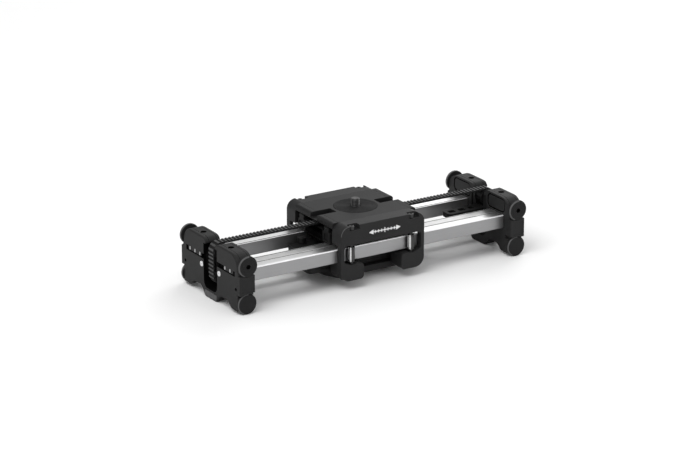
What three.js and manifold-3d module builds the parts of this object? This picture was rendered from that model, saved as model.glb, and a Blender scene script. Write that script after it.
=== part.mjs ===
// Compact belt-driven camera slider, millimetres, +Z up, +X along the rails, front towards -Y.
// Origin: centre of the footprint, on the plane the four round feet stand on.
// Heights below are measured from the underside of the tripod base; put() lifts every piece
// by STAND. Paired pieces are built on the right (+X) or rear (+Y) and mirrored.
import * as THREE from 'three';
import Module from 'manifold-3d';

// ---- shared dimensions -----------------------------------------------------------
const GAP = 0.3;      // running and assembly gap
const OVER = 1;       // how far a cutter runs past the surface it opens

const BLOCK = {
  innerX: 157.3, endX: 175,
  slotY: 13.6, slotFloorZ: 3.5,   // central slot: half width and floor
  topZ: 57,
  sideY: 60.2,                    // widest side
  shoulderY: 57.4,                // recessed side behind the bumper
  legY: 55.4,                     // recessed side behind the foot
  bottomZ: -5.9,                  // underside of the centre foot
};
const DISC = { x: 165.7, radius: 11, recessRadius: 11.4 };   // bumpers and feet alike
const BUMPER = { z: 45.6, y0: BLOCK.shoulderY + GAP, y1: 61.7 };
const FOOT = { z: 4.7, y0: BLOCK.legY + GAP, y1: 59.6 };
const STAND = DISC.radius - FOOT.z;   // underside of the base above the standing plane
const FACE_SCREW = { y: 17.9, z: 26.9 };

const PULLEY = { x: 164.4, upperZ: 45.4, lowerZ: 19.7, radius: 7.5, flangeRadius: 8.7 };
const AXLE_RADIUS = 2;

const CARRIAGE = { halfX: 51.2, halfY: 54.5, topZ: 63.5 };
const CARRIAGE_HEAD_Y = 36.8;   // inner face of a side plate's head
const CAMERA_PAD_RADIUS = 23;
const CARRIAGE_ROLLER = { x: 36.6, y: 50.8, radius: 3.7, z0: 24.2, z1: 40 };
const PIN_RADIUS = 1.6;

const BASE = { radius: 50.5, halfY: 31, thickness: 7, holeRadius: 8.3 };
const BASE_ROLLER = { x: 56, y: 15.8, radius: 4.8, z0: 28, z1: 34.4 };

// ---- outline helpers: lists of [a, b] points ---------------------------------------
const arc = (centreA, centreB, radius, startDeg, endDeg, steps) => (
  Array.from({ length: steps + 1 }, (_, i) => {
    const angle = (startDeg + (endDeg - startDeg) * i / steps) * Math.PI / 180;
    return [centreA + radius * Math.cos(angle), centreB + radius * Math.sin(angle)];
  }));
const hexagon = (centreA, centreB, radius) => arc(centreA, centreB, radius, 0, 300, 5);
const rectangle = (a0, a1, b0, b1) => [[a0, b0], [a1, b0], [a1, b1], [a0, b1]];
const rounded = (a0, a1, b0, b1, radius) => [
  ...arc(a1 - radius, b0 + radius, radius, -90, 0, 4),
  ...arc(a1 - radius, b1 - radius, radius, 0, 90, 4),
  ...arc(a0 + radius, b1 - radius, radius, 90, 180, 4),
  ...arc(a0 + radius, b0 + radius, radius, 180, 270, 4),
];
// completes a half outline with its mirror image in a = 0; points on that line are kept once
const mirrored = (half) => [
  ...half,
  ...half.slice().reverse().filter(([a]) => a !== 0).map(([a, b]) => [-a, b]),
];

// ---- solid helpers -----------------------------------------------------------------
const wasm = await Module();
wasm.setup();

// welds a closed geometry's corners and turns its faces outwards
function solid(geometry) {
  const flat = geometry.index ? geometry.toNonIndexed() : geometry;
  const position = flat.getAttribute('position');
  const vertices = [];
  const triangles = [];
  const known = new Map();
  const weld = (i) => {
    const point = [position.getX(i), position.getY(i), position.getZ(i)]
      .map((value) => Math.round(value * 1e4) / 1e4);
    const key = point.join();
    if (!known.has(key)) {
      known.set(key, vertices.length / 3);
      vertices.push(...point);
    }
    return known.get(key);
  };
  for (let i = 0; i < position.count; i += 3) {
    const corners = [weld(i), weld(i + 1), weld(i + 2)];
    if (new Set(corners).size === 3) triangles.push(...corners);
  }

  let volume = 0;
  for (let i = 0; i < triangles.length; i += 3) {
    const [first, second, third] = [0, 1, 2].map(
      (k) => new THREE.Vector3().fromArray(vertices, triangles[i + k] * 3));
    volume += first.dot(second.cross(third));
  }
  if (volume < 0) triangles.reverse();

  return new wasm.Manifold(new wasm.Mesh({
    numProp: 3,
    vertProperties: new Float32Array(vertices),
    triVerts: new Uint32Array(triangles),
  }));
}

const add = (first, ...others) => others.reduce((sum, body) => sum.add(body), first);
const cut = (first, ...others) => others.reduce((rest, body) => rest.subtract(body), first);
const same = (body) => body;
const flipX = (body) => body.mirror([1, 0, 0]);
const flipY = (body) => body.mirror([0, 1, 0]);

// extrudes an outline between two stations; each hole is cut right through
const extruder = (place) => (outline, from, to, holes = []) => {
  const bar = (points, start, end) => {
    const shape = new THREE.Shape(points.map(([a, b]) => new THREE.Vector2(a, b)));
    const options = { depth: end - start, bevelEnabled: false };
    return solid(new THREE.ExtrudeGeometry(shape, options).applyMatrix4(place(start, end)));
  };
  return cut(bar(outline, from, to), ...holes.map((hole) => bar(hole, from - OVER, to + OVER)));
};
// outline in (y, z)
const alongX = extruder((x0) => new THREE.Matrix4().set(
  0, 0, 1, x0,
  1, 0, 0, 0,
  0, 1, 0, 0,
  0, 0, 0, 1));
// outline in (x, z)
const alongY = extruder((y0, y1) => new THREE.Matrix4().set(
  1, 0, 0, 0,
  0, 0, -1, y1,
  0, 1, 0, 0,
  0, 0, 0, 1));
// outline in (x, y)
const alongZ = extruder((z0) => new THREE.Matrix4().makeTranslation(0, 0, z0));

const box = (x0, x1, y0, y1, z0, z1) => solid(
  new THREE.BoxGeometry(x1 - x0, y1 - y0, z1 - z0)
    .translate((x0 + x1) / 2, (y0 + y1) / 2, (z0 + z1) / 2));

const AXIS_TURN = {
  x: new THREE.Matrix4().makeRotationZ(-Math.PI / 2),
  y: new THREE.Matrix4(),
  z: new THREE.Matrix4().makeRotationX(Math.PI / 2),
};
// profile of [radius, station] points turned about an axis through centre;
// a profile that starts off the axis is closed into a ring
function turned(profile, axis, centre, segments) {
  const points = profile.map(([radius, station]) => new THREE.Vector2(radius, station));
  if (profile[0][0] > 0) points.push(points[0].clone());
  const lathe = new THREE.LatheGeometry(points, segments);
  return solid(lathe.applyMatrix4(AXIS_TURN[axis]).translate(...centre));
}
const rod = (axis, centre, radius, from, to, segments) => (
  turned([[0, from], [radius, from], [radius, to], [0, to]], axis, centre, segments));
const ring = (axis, centre, inner, outer, from, to, segments) => (
  turned(rectangle(inner, outer, from, to), axis, centre, segments));

// ---- finishes and placing ------------------------------------------------------------
const FINISHES = {
  shell: { color: 0x2b2b2c, roughness: 0.55, metalness: 0 },
  anodised: { color: 0x2d2d2f, roughness: 0.5, metalness: 0.3 },
  shell_dark: { color: 0x1b1b1c, roughness: 0.6, metalness: 0 },
  rubber: { color: 0x202021, roughness: 0.8, metalness: 0 },
  belt: { color: 0x161617, roughness: 0.75, metalness: 0 },
  rail: { color: 0xb9bbbd, roughness: 0.3, metalness: 1 },
  steel: { color: 0xc9cacc, roughness: 0.22, metalness: 1 },
  black_steel: { color: 0x28282a, roughness: 0.35, metalness: 0.9 },
};
const SIDES = [['right', same], ['left', flipX]];
const ENDS = [['front', flipY], ['rear', same]];

const root = new THREE.Group();
root.name = 'camera_slider';

function put(name, body, finish) {
  const { vertProperties, triVerts } = body.translate([0, 0, STAND]).getMesh();
  const geometry = new THREE.BufferGeometry();
  geometry.setAttribute(
    'position', new THREE.BufferAttribute(new Float32Array(vertProperties), 3));
  geometry.setIndex(new THREE.BufferAttribute(new Uint32Array(triVerts), 1));
  geometry.computeVertexNormals();
  const mesh = new THREE.Mesh(geometry, new THREE.MeshStandardMaterial(FINISHES[finish]));
  mesh.name = name;
  root.add(mesh);
}
function putLeftRight(name, body, finish, suffix = '') {
  for (const [side, flip] of SIDES) put(`${name}_${side}${suffix}`, flip(body), finish);
}
function putFrontRear(name, body, finish) {
  for (const [end, flip] of ENDS) put(`${name}_${end}`, flip(body), finish);
}
function putAtCorners(name, body, finish) {
  for (const [end, flip] of ENDS) putLeftRight(name, flip(body), finish, `_${end}`);
}

// ---- end blocks ----------------------------------------------------------------------
// half outline, [y, z]: centre foot, leg, side, top pad, then down the slot to its floor
const BLOCK_HALF = [
  [0, BLOCK.bottomZ], [10.6, BLOCK.bottomZ], [12.2, BLOCK.bottomZ + 0.9],
  [15, -1.4], [17.8, 1.8], [21.5, 3.3], [32, 3.3], [35.6, 2.4], [38.4, 0.4],
  [40.4, -1.9], [43, -3.1], [53.6, -3.1], [55, -2.5], [BLOCK.legY, -1.2],
  [BLOCK.legY, 14.5], [BLOCK.sideY, 14.5], [BLOCK.sideY, 35.6],
  [BLOCK.shoulderY, 35.6], [BLOCK.shoulderY, 44.5],
  [56.6, 48], [54.9, 50.8], [52.2, 53.3], [49.1, 55.2], [46, 56.4],
  [42.4, BLOCK.topZ], [16.5, BLOCK.topZ], [13.4, 56.3], [11, 54.4], [9.8, 51.6],
  [9.8, 50.9], [BLOCK.slotY, 50.9], [BLOCK.slotY, 9],
  [11.6, 5.2], [8.6, BLOCK.slotFloorZ], [0, BLOCK.slotFloorZ],
];
// outline of the pad below the slot, [y, z], grown by `grow`
const endPadOutline = (grow) => mirrored([
  [0, -5 - grow], [10 + grow * 0.6, -5 - grow],
  [11.3 + grow * 0.8, -4.4 - grow * 0.7], [12.1 + grow, -3],
  [12.1 + grow, 0.3 + grow * 0.5], [11.5 + grow * 0.5, 0.9 + grow], [0, 0.9 + grow],
]);

// what is cut from the rear half of the right block
function blockCutters() {
  const { innerX, endX, slotY, topZ, sideY, shoulderY, legY } = BLOCK;
  const clearY = sideY + OVER;
  const screwCentre = [endX, FACE_SCREW.y, FACE_SCREW.z];
  const bumperCentre = [DISC.x, 0, BUMPER.z];
  const footCentre = [DISC.x, 0, FOOT.z];
  const sunkArea = rounded(16, 48.2, 39.6, 55, 5.5);
  const panel = rounded(17.4, 46.8, 41, 53.6, 4.2);
  const grooveDepth = 2.2;
  const panelDepth = 0.4;
  return [
    rod('z', [166.4, 28.3, topZ], 3.2, -9, OVER, 20),             // hole in the top pad
    rod('x', [endX, 52, 20.3], 1.6, -4, OVER, 14),                // small hole in the end face
    rod('x', screwCentre, 3.35, -1.6, OVER, 20),                  // seat of the face screw
    rod('x', screwCentre, 1.7, -9, 0, 12),
    box(endX - 3.4, endX + OVER, slotY - OVER, 49.9, 33.3, 38.7), // scale window
    // groove round a slightly sunk panel in the inner face
    alongX(sunkArea, innerX - OVER, innerX + panelDepth),
    alongX(sunkArea, innerX - OVER, innerX + grooveDepth, [panel]),
    // round reliefs and screw or spigot holes behind the bumper and the foot
    rod('y', bumperCentre, DISC.recessRadius, shoulderY, clearY, 30),
    rod('y', footCentre, DISC.recessRadius, legY, clearY, 30),
    rod('y', bumperCentre, 1.75, 48, clearY, 12),
    rod('y', footCentre, 3.2, 52.8, clearY, 16),
    box(innerX - OVER, innerX + 2, 50.4, clearY, 12.6, 16.8),     // corner relief by the foot
  ];
}
function endBlock() {
  const cutters = blockCutters();
  return cut(
    alongX(mirrored(BLOCK_HALF), BLOCK.innerX, BLOCK.endX),
    ...cutters,
    ...cutters.map(flipY),
    alongX(endPadOutline(GAP), BLOCK.endX - 1.2, BLOCK.endX + OVER));   // end pad recess
}
putLeftRight('end_block', endBlock(), 'shell');

// ---- bumpers, feet, face screws, end pads ----------------------------------------------
// round pad with a hexagon socket and a shank
function bumper() {
  const centre = [DISC.x, 0, BUMPER.z];
  const { y0, y1 } = BUMPER;
  const chamfer = 0.9;
  const pad = turned([
    [0, y0], [DISC.radius, y0], [DISC.radius, y1 - chamfer], [DISC.radius - chamfer, y1],
    [0, y1],
  ], 'y', centre, 30);
  const socket = alongY(hexagon(DISC.x, BUMPER.z, 2.3), y1 - 2.6, y1 + OVER);
  return add(cut(pad, socket), rod('y', centre, 1.45, 49, y0 + 0.5, 12));
}
// plain round foot with a spigot
function foot() {
  const centre = [DISC.x, 0, FOOT.z];
  const { y0, y1 } = FOOT;
  const { radius } = DISC;
  const disc = turned([
    [0, y0], [radius - 0.3, y0], [radius, y0 + 0.6],
    [radius, y1 - 0.7], [radius - 0.7, y1], [0, y1],
  ], 'y', centre, 30);
  return add(disc, rod('y', centre, 2.85, 53.2, y0 + 0.5, 16));
}
function faceScrew() {
  const { y, z } = FACE_SCREW;
  const centre = [BLOCK.endX, y, z];
  const head = turned([[0, -1.3], [3, -1.3], [3, 0.1], [2.6, 0.5], [0, 0.5]], 'x', centre, 18);
  const shank = rod('x', centre, 1.4, -8.4, -1.2, 12);
  const socket = alongX(hexagon(y, z, 1.5), BLOCK.endX - 0.9, BLOCK.endX + 0.5 + OVER);
  return cut(add(head, shank), socket);
}
// pad set in the end face below the slot
const endPad = () => alongX(endPadOutline(0), BLOCK.endX - 0.9, BLOCK.endX + 0.4);

putAtCorners('bumper', bumper(), 'rubber');
putAtCorners('foot', foot(), 'rubber');
putAtCorners('face_screw', faceScrew(), 'steel');
putLeftRight('end_pad', endPad(), 'rubber');

// ---- rails: two-chamber tubes with a groove along the top ---------------------------------
const RAIL = { endX: BLOCK.innerX - GAP, y0: 20.9, y1: 46.7, z0: 23.2, z1: 38.1 };
const RAIL_WALL = 2;
const RAIL_CHAMFER = 0.5;
const RAIL_GROOVE = { y: 34.2, halfWidth: 0.45, depth: 1 };
const RAIL_WEB_HALF = 2.2;   // half thickness of the web under the groove

function rail() {
  const { endX, y0, y1, z0, z1 } = RAIL;
  const { y: grooveY, halfWidth, depth } = RAIL_GROOVE;
  const outline = [
    [y0 + RAIL_CHAMFER, z0], [y1 - RAIL_CHAMFER, z0], [y1, z0 + RAIL_CHAMFER],
    [y1, z1 - RAIL_CHAMFER], [y1 - RAIL_CHAMFER, z1],
    [grooveY + halfWidth, z1], [grooveY + halfWidth, z1 - depth],
    [grooveY - halfWidth, z1 - depth], [grooveY - halfWidth, z1],
    [y0 + RAIL_CHAMFER, z1], [y0, z1 - RAIL_CHAMFER], [y0, z0 + RAIL_CHAMFER],
  ];
  const chamber = (from, to) => rectangle(from, to, z0 + RAIL_WALL, z1 - RAIL_WALL);
  return alongX(outline, -endX, endX, [
    chamber(y0 + RAIL_WALL, grooveY - RAIL_WEB_HALF),
    chamber(grooveY + RAIL_WEB_HALF, y1 - RAIL_WALL),
  ]);
}
putFrontRear('rail', rail(), 'rail');

// ---- pulleys, axles, yokes, belt ------------------------------------------------------------
const YOKE = { x0: 158, y0: 6.6, y1: 13 };   // y0 and y1 bound the rear cheek
const AXLE_HALF = 12.6;
const BELT = { innerRadius: PULLEY.radius + 0.1, thickness: 2.1, width: 10 };
// [x, z]
const YOKE_CHEEK = [
  [YOKE.x0, 11.2], [163.4, 11.2], [168, 13.4], [170.2, 17.2], [172.2, 21.8], [172.2, 40.6],
  [170.4, 45], [168, 48.6], [PULLEY.x, 50.2], [YOKE.x0, 50.2],
];

function pulley(z) {
  const { radius, flangeRadius } = PULLEY;
  return turned([
    [2.2, -6.2], [flangeRadius, -6.2], [flangeRadius, -5.5], [radius, -5.2],
    [radius, 5.2], [flangeRadius, 5.5], [flangeRadius, 6.2], [2.2, 6.2],
  ], 'y', [PULLEY.x, 0, z], 22);
}
const axle = (z) => rod('y', [PULLEY.x, 0, z], AXLE_RADIUS - 0.1, -AXLE_HALF, AXLE_HALF, 16);
// two cheeks joined by a bridge inside the belt loop
function yoke() {
  const cheek = alongY(YOKE_CHEEK, YOKE.y0, YOKE.y1);
  const bridgeHalf = YOKE.y0 + 0.5;
  const bridge = box(YOKE.x0, 161.6, -bridgeHalf, bridgeHalf, 29, 35.6);
  const boreHalf = YOKE.y1 + OVER;
  const bore = (z) => (
    rod('y', [PULLEY.x, 0, z], AXLE_RADIUS + 0.05, -boreHalf, boreHalf, 16));
  return cut(add(cheek, flipY(cheek), bridge), bore(PULLEY.upperZ), bore(PULLEY.lowerZ));
}
// closed path round all four pulleys, [x, z]
function beltPath(radius) {
  const { x, upperZ, lowerZ } = PULLEY;
  return mirrored([...arc(x, upperZ, radius, 90, 0, 8), ...arc(x, lowerZ, radius, 0, -90, 8)]);
}
function belt() {
  const outer = beltPath(BELT.innerRadius + BELT.thickness);
  return alongY(outer, -BELT.width / 2, BELT.width / 2, [beltPath(BELT.innerRadius)]);
}

putLeftRight('pulley_yoke', yoke(), 'shell_dark');
for (const [level, z] of [['upper', PULLEY.upperZ], ['lower', PULLEY.lowerZ]]) {
  putLeftRight('pulley', pulley(z), 'shell_dark', `_${level}`);
  putLeftRight('pulley_axle', axle(z), 'steel', `_${level}`);
}
put('belt', belt(), 'belt');

// ---- slotted tongue between the rails, right side only -----------------------------------------
const TONGUE = { x0: 114, x1: 157.6, halfY: 8, z0: 29.3, z1: 34.8, cornerRadius: 5 };
const TONGUE_SLOTS = [[118, 126], [131, 139], [144, 150]];   // [x0, x1]

function tongue() {
  const { x0, x1, halfY, z0, z1, cornerRadius } = TONGUE;
  const arcX = x0 + cornerRadius;
  const arcY = halfY - cornerRadius;
  const plan = [
    [x1, -halfY], [x1, halfY],
    ...arc(arcX, arcY, cornerRadius, 90, 180, 4),
    ...arc(arcX, -arcY, cornerRadius, 180, 270, 4),
  ];
  const slots = TONGUE_SLOTS.map(
    ([from, to]) => box(from, to, -3.2, 3.2, z1 - 2.6, z1 + OVER));
  return cut(alongZ(plan, z0, z1), ...slots);
}
put('tongue_right', tongue(), 'shell_dark');

// ---- upper carriage ------------------------------------------------------------------------------
const PLATE = { bottomZ: 3.7, innerY: 47.1, topRadius: 10, bottomRadius: 11 };
const HOOK = { innerX: 23, innerY: 32.8, toeRadius: 4.5, tipRadius: 4 };
const WINDOW = { halfX: 47, z0: 22.8, z1: 42.5, cornerRadius: 2.5 };
const GUIDE_HALF_X = 49;   // also the belt clamp block

const topCorners = (radius, steps) => {
  const arcX = CARRIAGE.halfX - radius;
  const arcZ = CARRIAGE.topZ - radius;
  return [...arc(arcX, arcZ, radius, 0, 90, steps), ...arc(-arcX, arcZ, radius, 90, 180, steps)];
};

// plate with a window, a thicker head above it and a hook reaching inwards at each foot
function sidePlate() {
  const { halfX, halfY, topZ } = CARRIAGE;
  const { bottomZ, innerY, topRadius, bottomRadius } = PLATE;
  const { toeRadius, tipRadius } = HOOK;
  // left foot, [x, z], from its outer corner round to the hook's upper edge
  const footEdge = [
    ...arc(-halfX + bottomRadius, bottomZ + bottomRadius, bottomRadius, 180, 270, 5),
    ...arc(-HOOK.innerX - toeRadius, bottomZ + toeRadius, toeRadius, 270, 360, 3),
    ...arc(-HOOK.innerX - tipRadius, 17.6, tipRadius, 0, 60, 2),
    [-31.6, 22.4], [-34, 21.2], [-39.2, 21.2],
  ];
  const windowEdge = [
    [-42.4, WINDOW.z0], [-44.6, 23.2], [-WINDOW.halfX + 0.6, 24.6], [-WINDOW.halfX, 26.4],
    ...arc(-WINDOW.halfX + WINDOW.cornerRadius, WINDOW.z1 - WINDOW.cornerRadius,
      WINDOW.cornerRadius, 180, 90, 2),
  ];
  const top = topCorners(topRadius, 5);
  const plate = alongY([...mirrored([...footEdge, ...windowEdge]), ...top], innerY, halfY);

  const overlapY = innerY + 1;
  const headOutline = [[halfX, WINDOW.z1], ...top, [-halfX, WINDOW.z1]];
  const head = alongY(headOutline, CARRIAGE_HEAD_Y, overlapY);
  const hook = alongY([...footEdge, [-42.4, 22.4], [-halfX, 22.4]], HOOK.innerY, overlapY);

  // roller pin bores, and pockets at the top edge that are off centre towards +X
  const cutters = [-1, 1].flatMap((side) => {
    const x = side * CARRIAGE_ROLLER.x;
    return [
      rod('z', [x, CARRIAGE_ROLLER.y, 0], PIN_RADIUS + 0.15, 13, topZ + OVER, 14),
      box(x - 4.2, x + 8, 47.4, halfY + OVER, 58.4, topZ + OVER),
    ];
  });
  return cut(add(plate, head, hook, flipX(hook)), ...cutters);
}

function deck() {
  const { halfX, topZ } = CARRIAGE;
  const bottomZ = 56.5;
  const halfY = CARRIAGE_HEAD_Y - GAP;
  const outline = [
    [-halfX + 1.2, bottomZ], [halfX - 1.2, bottomZ], [halfX - 0.2, 57.4],
    ...topCorners(6, 4), [-halfX + 0.2, 57.4],
  ];
  const groove = box(27, halfX + OVER, -6.3, 6.3, 58.2, topZ + OVER);
  return cut(
    alongY(outline, -halfY, halfY),
    groove,
    flipX(groove),
    rod('z', [0, 0, 0], 5, bottomZ - OVER, topZ + OVER, 20),
    rod('z', [0, 0, 0], CAMERA_PAD_RADIUS + 0.4, topZ - 1.4, topZ + OVER, 32));
}
function cameraPad() {
  const { topZ } = CARRIAGE;
  const outer = CAMERA_PAD_RADIUS;
  return turned([
    [5.6, topZ - 1.1], [outer, topZ - 1.1], [outer, topZ - 0.1],
    [outer - 0.4, topZ + 0.3], [5.6, topZ + 0.3],
  ], 'z', [0, 0, 0], 32);
}
const cameraScrew = () => rod('z', [0, 0, 0], 4.6, 55.6, 72, 24);

function upperClamp() {
  const outline = mirrored([[14, 50.4], [14, 36.4], [13.1, 35.5]]);   // [y, z]
  const rib = box(-26, 26, 6.2, 13.6, 50, 56.2);
  return add(
    alongX(outline, -GUIDE_HALF_X, GUIDE_HALF_X),
    rib,
    flipY(rib),
    box(-18, 18, -6, 6, 50, 52.7));
}
// [y, z]
const GUIDE_OUTLINE = [
  [17.2, 38.6], [30.4, 38.6], [31, 39.2], [31, 49.8], [30.2, 50.6], [28.6, 50.6],
  [28.6, 56.2], [20.2, 56.2], [20.2, 50.6], [18, 50.6], [17.2, 49.8],
];
// bar with its underside cut away over the middle
function carriageGuide() {
  const bar = alongX(GUIDE_OUTLINE, -GUIDE_HALF_X, GUIDE_HALF_X);
  return cut(bar, box(-32, 32, 16, 32, 38, 45.5));
}

function carriageRoller() {
  const { x, y, radius, z0, z1 } = CARRIAGE_ROLLER;
  const bore = PIN_RADIUS + GAP;
  const chamfer = 0.3;
  return turned([
    [bore, z0], [radius - chamfer, z0], [radius, z0 + chamfer],
    [radius, z1 - chamfer], [radius - chamfer, z1], [bore, z1],
  ], 'z', [x, y, 0], 18);
}
function rollerScrew() {
  const { x, y } = CARRIAGE_ROLLER;
  const centre = [x, y, 0];
  const headZ = 58.8;
  const topZ = 62.6;
  const profile = [[0, headZ], [2.9, headZ], [2.9, topZ - 0.3], [2.6, topZ], [0, topZ]];
  const head = turned(profile, 'z', centre, 20);
  const shank = rod('z', centre, PIN_RADIUS, 13.6, headZ + 0.2, 14);
  return cut(add(head, shank), alongZ(hexagon(x, y, 1.6), topZ - 2, topZ + OVER));
}

putFrontRear('carriage_side', sidePlate(), 'anodised');
put('carriage_deck', deck(), 'anodised');
put('camera_pad', cameraPad(), 'rubber');
put('camera_screw', cameraScrew(), 'black_steel');
put('belt_clamp_upper', upperClamp(), 'shell_dark');
putFrontRear('carriage_guide', carriageGuide(), 'shell_dark');
putAtCorners('carriage_roller', carriageRoller(), 'steel');
putAtCorners('roller_screw', rollerScrew(), 'black_steel');

// ---- base on the tripod -----------------------------------------------------------------------------
const THREAD_RADIUS = 4.2;   // minor radius of a 3/8 inch tripod thread
const BODY = { halfX: 70.5, halfY: 24, z0: BASE.thickness + GAP, shoulderZ: 22.6 };
const BODY_TOP = { halfY: 19.6, z: 27.5 };

// disc with its front and rear cut off straight
function basePlate() {
  const { radius, halfY, thickness, holeRadius } = BASE;
  const endAngle = Math.asin(halfY / radius) * 180 / Math.PI;
  const plan = [
    ...arc(0, 0, radius, -endAngle, endAngle, 14),
    ...arc(0, 0, radius, 180 - endAngle, 180 + endAngle, 14),
  ];
  return alongZ(plan, 0, thickness, [arc(0, 0, holeRadius, 0, 345, 23)]);
}
const threadBush = () => (
  ring('z', [0, 0, 0], THREAD_RADIUS, BASE.holeRadius - GAP, 0, 6.9, 24));

// stepped body, rounded in plan, with a tunnel for the lower belt run
function baseBody() {
  const { halfX, halfY, z0, shoulderZ } = BODY;
  const outline = mirrored([
    [halfY, z0], [halfY, shoulderZ - 1], [halfY - 1, shoulderZ],
    [BODY_TOP.halfY, shoulderZ], [BODY_TOP.halfY, BODY_TOP.z - 0.8],
    [BODY_TOP.halfY - 0.8, BODY_TOP.z],
  ]);
  const plan = alongZ(rounded(-halfX, halfX, -halfY, halfY, 7), 0, BODY_TOP.z + OVER);
  const bores = [-1, 1].flatMap((side) => [-1, 1].map((end) => {
    const centre = [side * BASE_ROLLER.x, end * BASE_ROLLER.y, 0];
    return rod('z', centre, 1.65, 18, BODY_TOP.z + OVER, 12);
  }));
  return cut(
    alongX(outline, -halfX, halfX).intersect(plan),
    box(-halfX - OVER, halfX + OVER, -6.4, 6.4, BASE.thickness, 14.4),
    box(-12.4, 12.4, -6.4, 6.4, BASE.thickness, 17),   // seat of the lower belt clamp
    ...bores);
}
const lowerClamp = () => box(-12, 12, -6, 6, 12.4, 16.7);

function baseRoller() {
  const { x, y, radius, z0, z1 } = BASE_ROLLER;
  return ring('z', [x, y, 0], 1.9, radius, z0, z1, 18);
}
function baseRollerScrew() {
  const centre = [BASE_ROLLER.x, BASE_ROLLER.y, 0];
  const headZ = BASE_ROLLER.z1 + GAP;
  return add(
    rod('z', centre, 2.8, headZ, headZ + 0.4, 16),
    rod('z', centre, 1.45, 18.4, headZ + 0.2, 12));
}

put('base_plate', basePlate(), 'anodised');
put('thread_bush', threadBush(), 'steel');
put('base_body', baseBody(), 'anodised');
put('belt_clamp_lower', lowerClamp(), 'shell_dark');
putAtCorners('base_roller', baseRoller(), 'black_steel');
putAtCorners('base_roller_screw', baseRollerScrew(), 'black_steel');

export default root;
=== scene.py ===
"""A belt-driven camera slider on a white floor.

Two rails run along X between the end blocks, a carriage rides over them and a base sits below.
Right is +X, rear is +Y, up is +Z, and the slider is centred on X = Y = 0.
Sizes are in millimetres; heights are measured from the underside of the base plate.
"""
import math

import bmesh
import bpy
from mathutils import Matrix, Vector


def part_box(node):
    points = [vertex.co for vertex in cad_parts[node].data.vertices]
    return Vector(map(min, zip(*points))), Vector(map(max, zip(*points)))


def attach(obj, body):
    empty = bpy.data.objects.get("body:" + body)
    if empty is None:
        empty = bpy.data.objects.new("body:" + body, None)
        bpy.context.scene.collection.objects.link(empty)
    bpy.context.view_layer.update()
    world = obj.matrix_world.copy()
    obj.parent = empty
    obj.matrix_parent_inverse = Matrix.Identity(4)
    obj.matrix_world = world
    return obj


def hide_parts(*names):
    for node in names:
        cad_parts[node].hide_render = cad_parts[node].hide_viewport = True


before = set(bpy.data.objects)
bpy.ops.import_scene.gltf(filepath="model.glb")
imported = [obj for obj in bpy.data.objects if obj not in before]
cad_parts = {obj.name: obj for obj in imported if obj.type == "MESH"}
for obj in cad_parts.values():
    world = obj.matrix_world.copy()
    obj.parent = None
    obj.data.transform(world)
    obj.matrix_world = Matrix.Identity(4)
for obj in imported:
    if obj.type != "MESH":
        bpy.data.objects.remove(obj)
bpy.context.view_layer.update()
scene = bpy.context.scene
MM = 0.001
X, Y, Z = range(3)


# ------------------------------------------------------------------ sizes read from the frame
def box(node):
    low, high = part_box(node)
    return [c * 1000 for c in low], [c * 1000 for c in high]


def middle(node_box, axis):
    return (node_box[0][axis] + node_box[1][axis]) / 2


def half_size(node_box, axis):
    return (node_box[1][axis] - node_box[0][axis]) / 2


low, high = box("base_plate")
ORIGIN_Z = low[Z]
BASE_R, BASE_Y, BASE_TOP = high[X], high[Y], high[Z] - ORIGIN_Z


def heights(node_box):
    return node_box[0][Z] - ORIGIN_Z, node_box[1][Z] - ORIGIN_Z


block = box("end_block_right")
BLOCK_X, END_X, SIDE_Y = block[0][X], block[1][X], block[1][Y]
BLOCK_LOW, BLOCK_TOP = heights(block)

# the bumper and the foot are discs on the sides of the end blocks
disc = box("bumper_right_rear")
DISC_X, DISC_R, BUMPER_Z = middle(disc, X), half_size(disc, Z), middle(disc, Z) - ORIGIN_Z
BUMPER_Y = disc[1][Y]
BUMPER_IN_Y = BUMPER_Y - 4.0
disc = box("foot_right_rear")
FOOT_Z, FOOT_Y = middle(disc, Z) - ORIGIN_Z, disc[1][Y]
FOOT_IN_Y = FOOT_Y - 3.9

rail = box("rail_rear")
RAIL_X, RAIL_IN_Y, RAIL_OUT_Y = rail[1][X], rail[0][Y], rail[1][Y]
RAIL_LOW, RAIL_TOP = heights(rail)

pulley_box = box("pulley_right_upper")
PULLEY_X, PULLEY_UP_Z = middle(pulley_box, X), middle(pulley_box, Z) - ORIGIN_Z
pulley_box = box("pulley_right_lower")
PULLEY_LOW_Z, FLANGE_R = middle(pulley_box, Z) - ORIGIN_Z, half_size(pulley_box, Z)
BELT_R = box("belt")[1][X] - PULLEY_X      # outside of the belt's teeth round a pulley

plate = box("carriage_side_rear")
PLATE_X, PLATE_Y, HOOK_IN_Y = plate[1][X], plate[1][Y], plate[0][Y]
PLATE_LOW, CARRIAGE_TOP = heights(plate)
PLATE_IN_Y = 47.1

roller = box("carriage_roller_right_rear")
ROLLER_X, ROLLER_Y, ROLLER_R = middle(roller, X), middle(roller, Y), half_size(roller, X)
ROLLER_LOW, ROLLER_TOP = heights(roller)
roller = box("base_roller_right_rear")
BASE_ROLLER_X, BASE_ROLLER_Y = middle(roller, X), middle(roller, Y)
BASE_ROLLER_R = half_size(roller, X)
BASE_ROLLER_LOW, BASE_ROLLER_TOP = heights(roller)

low, high = box("base_body")
BODY_X, BODY_Y, BODY_TOP = high[X], high[Y], high[Z] - ORIGIN_Z

tongue_box = box("tongue_right")
TONGUE_IN_X, TONGUE_OUT_X, TONGUE_Y = tongue_box[0][X], tongue_box[1][X], tongue_box[1][Y]
TONGUE_LOW, TONGUE_TOP = heights(tongue_box)


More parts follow.
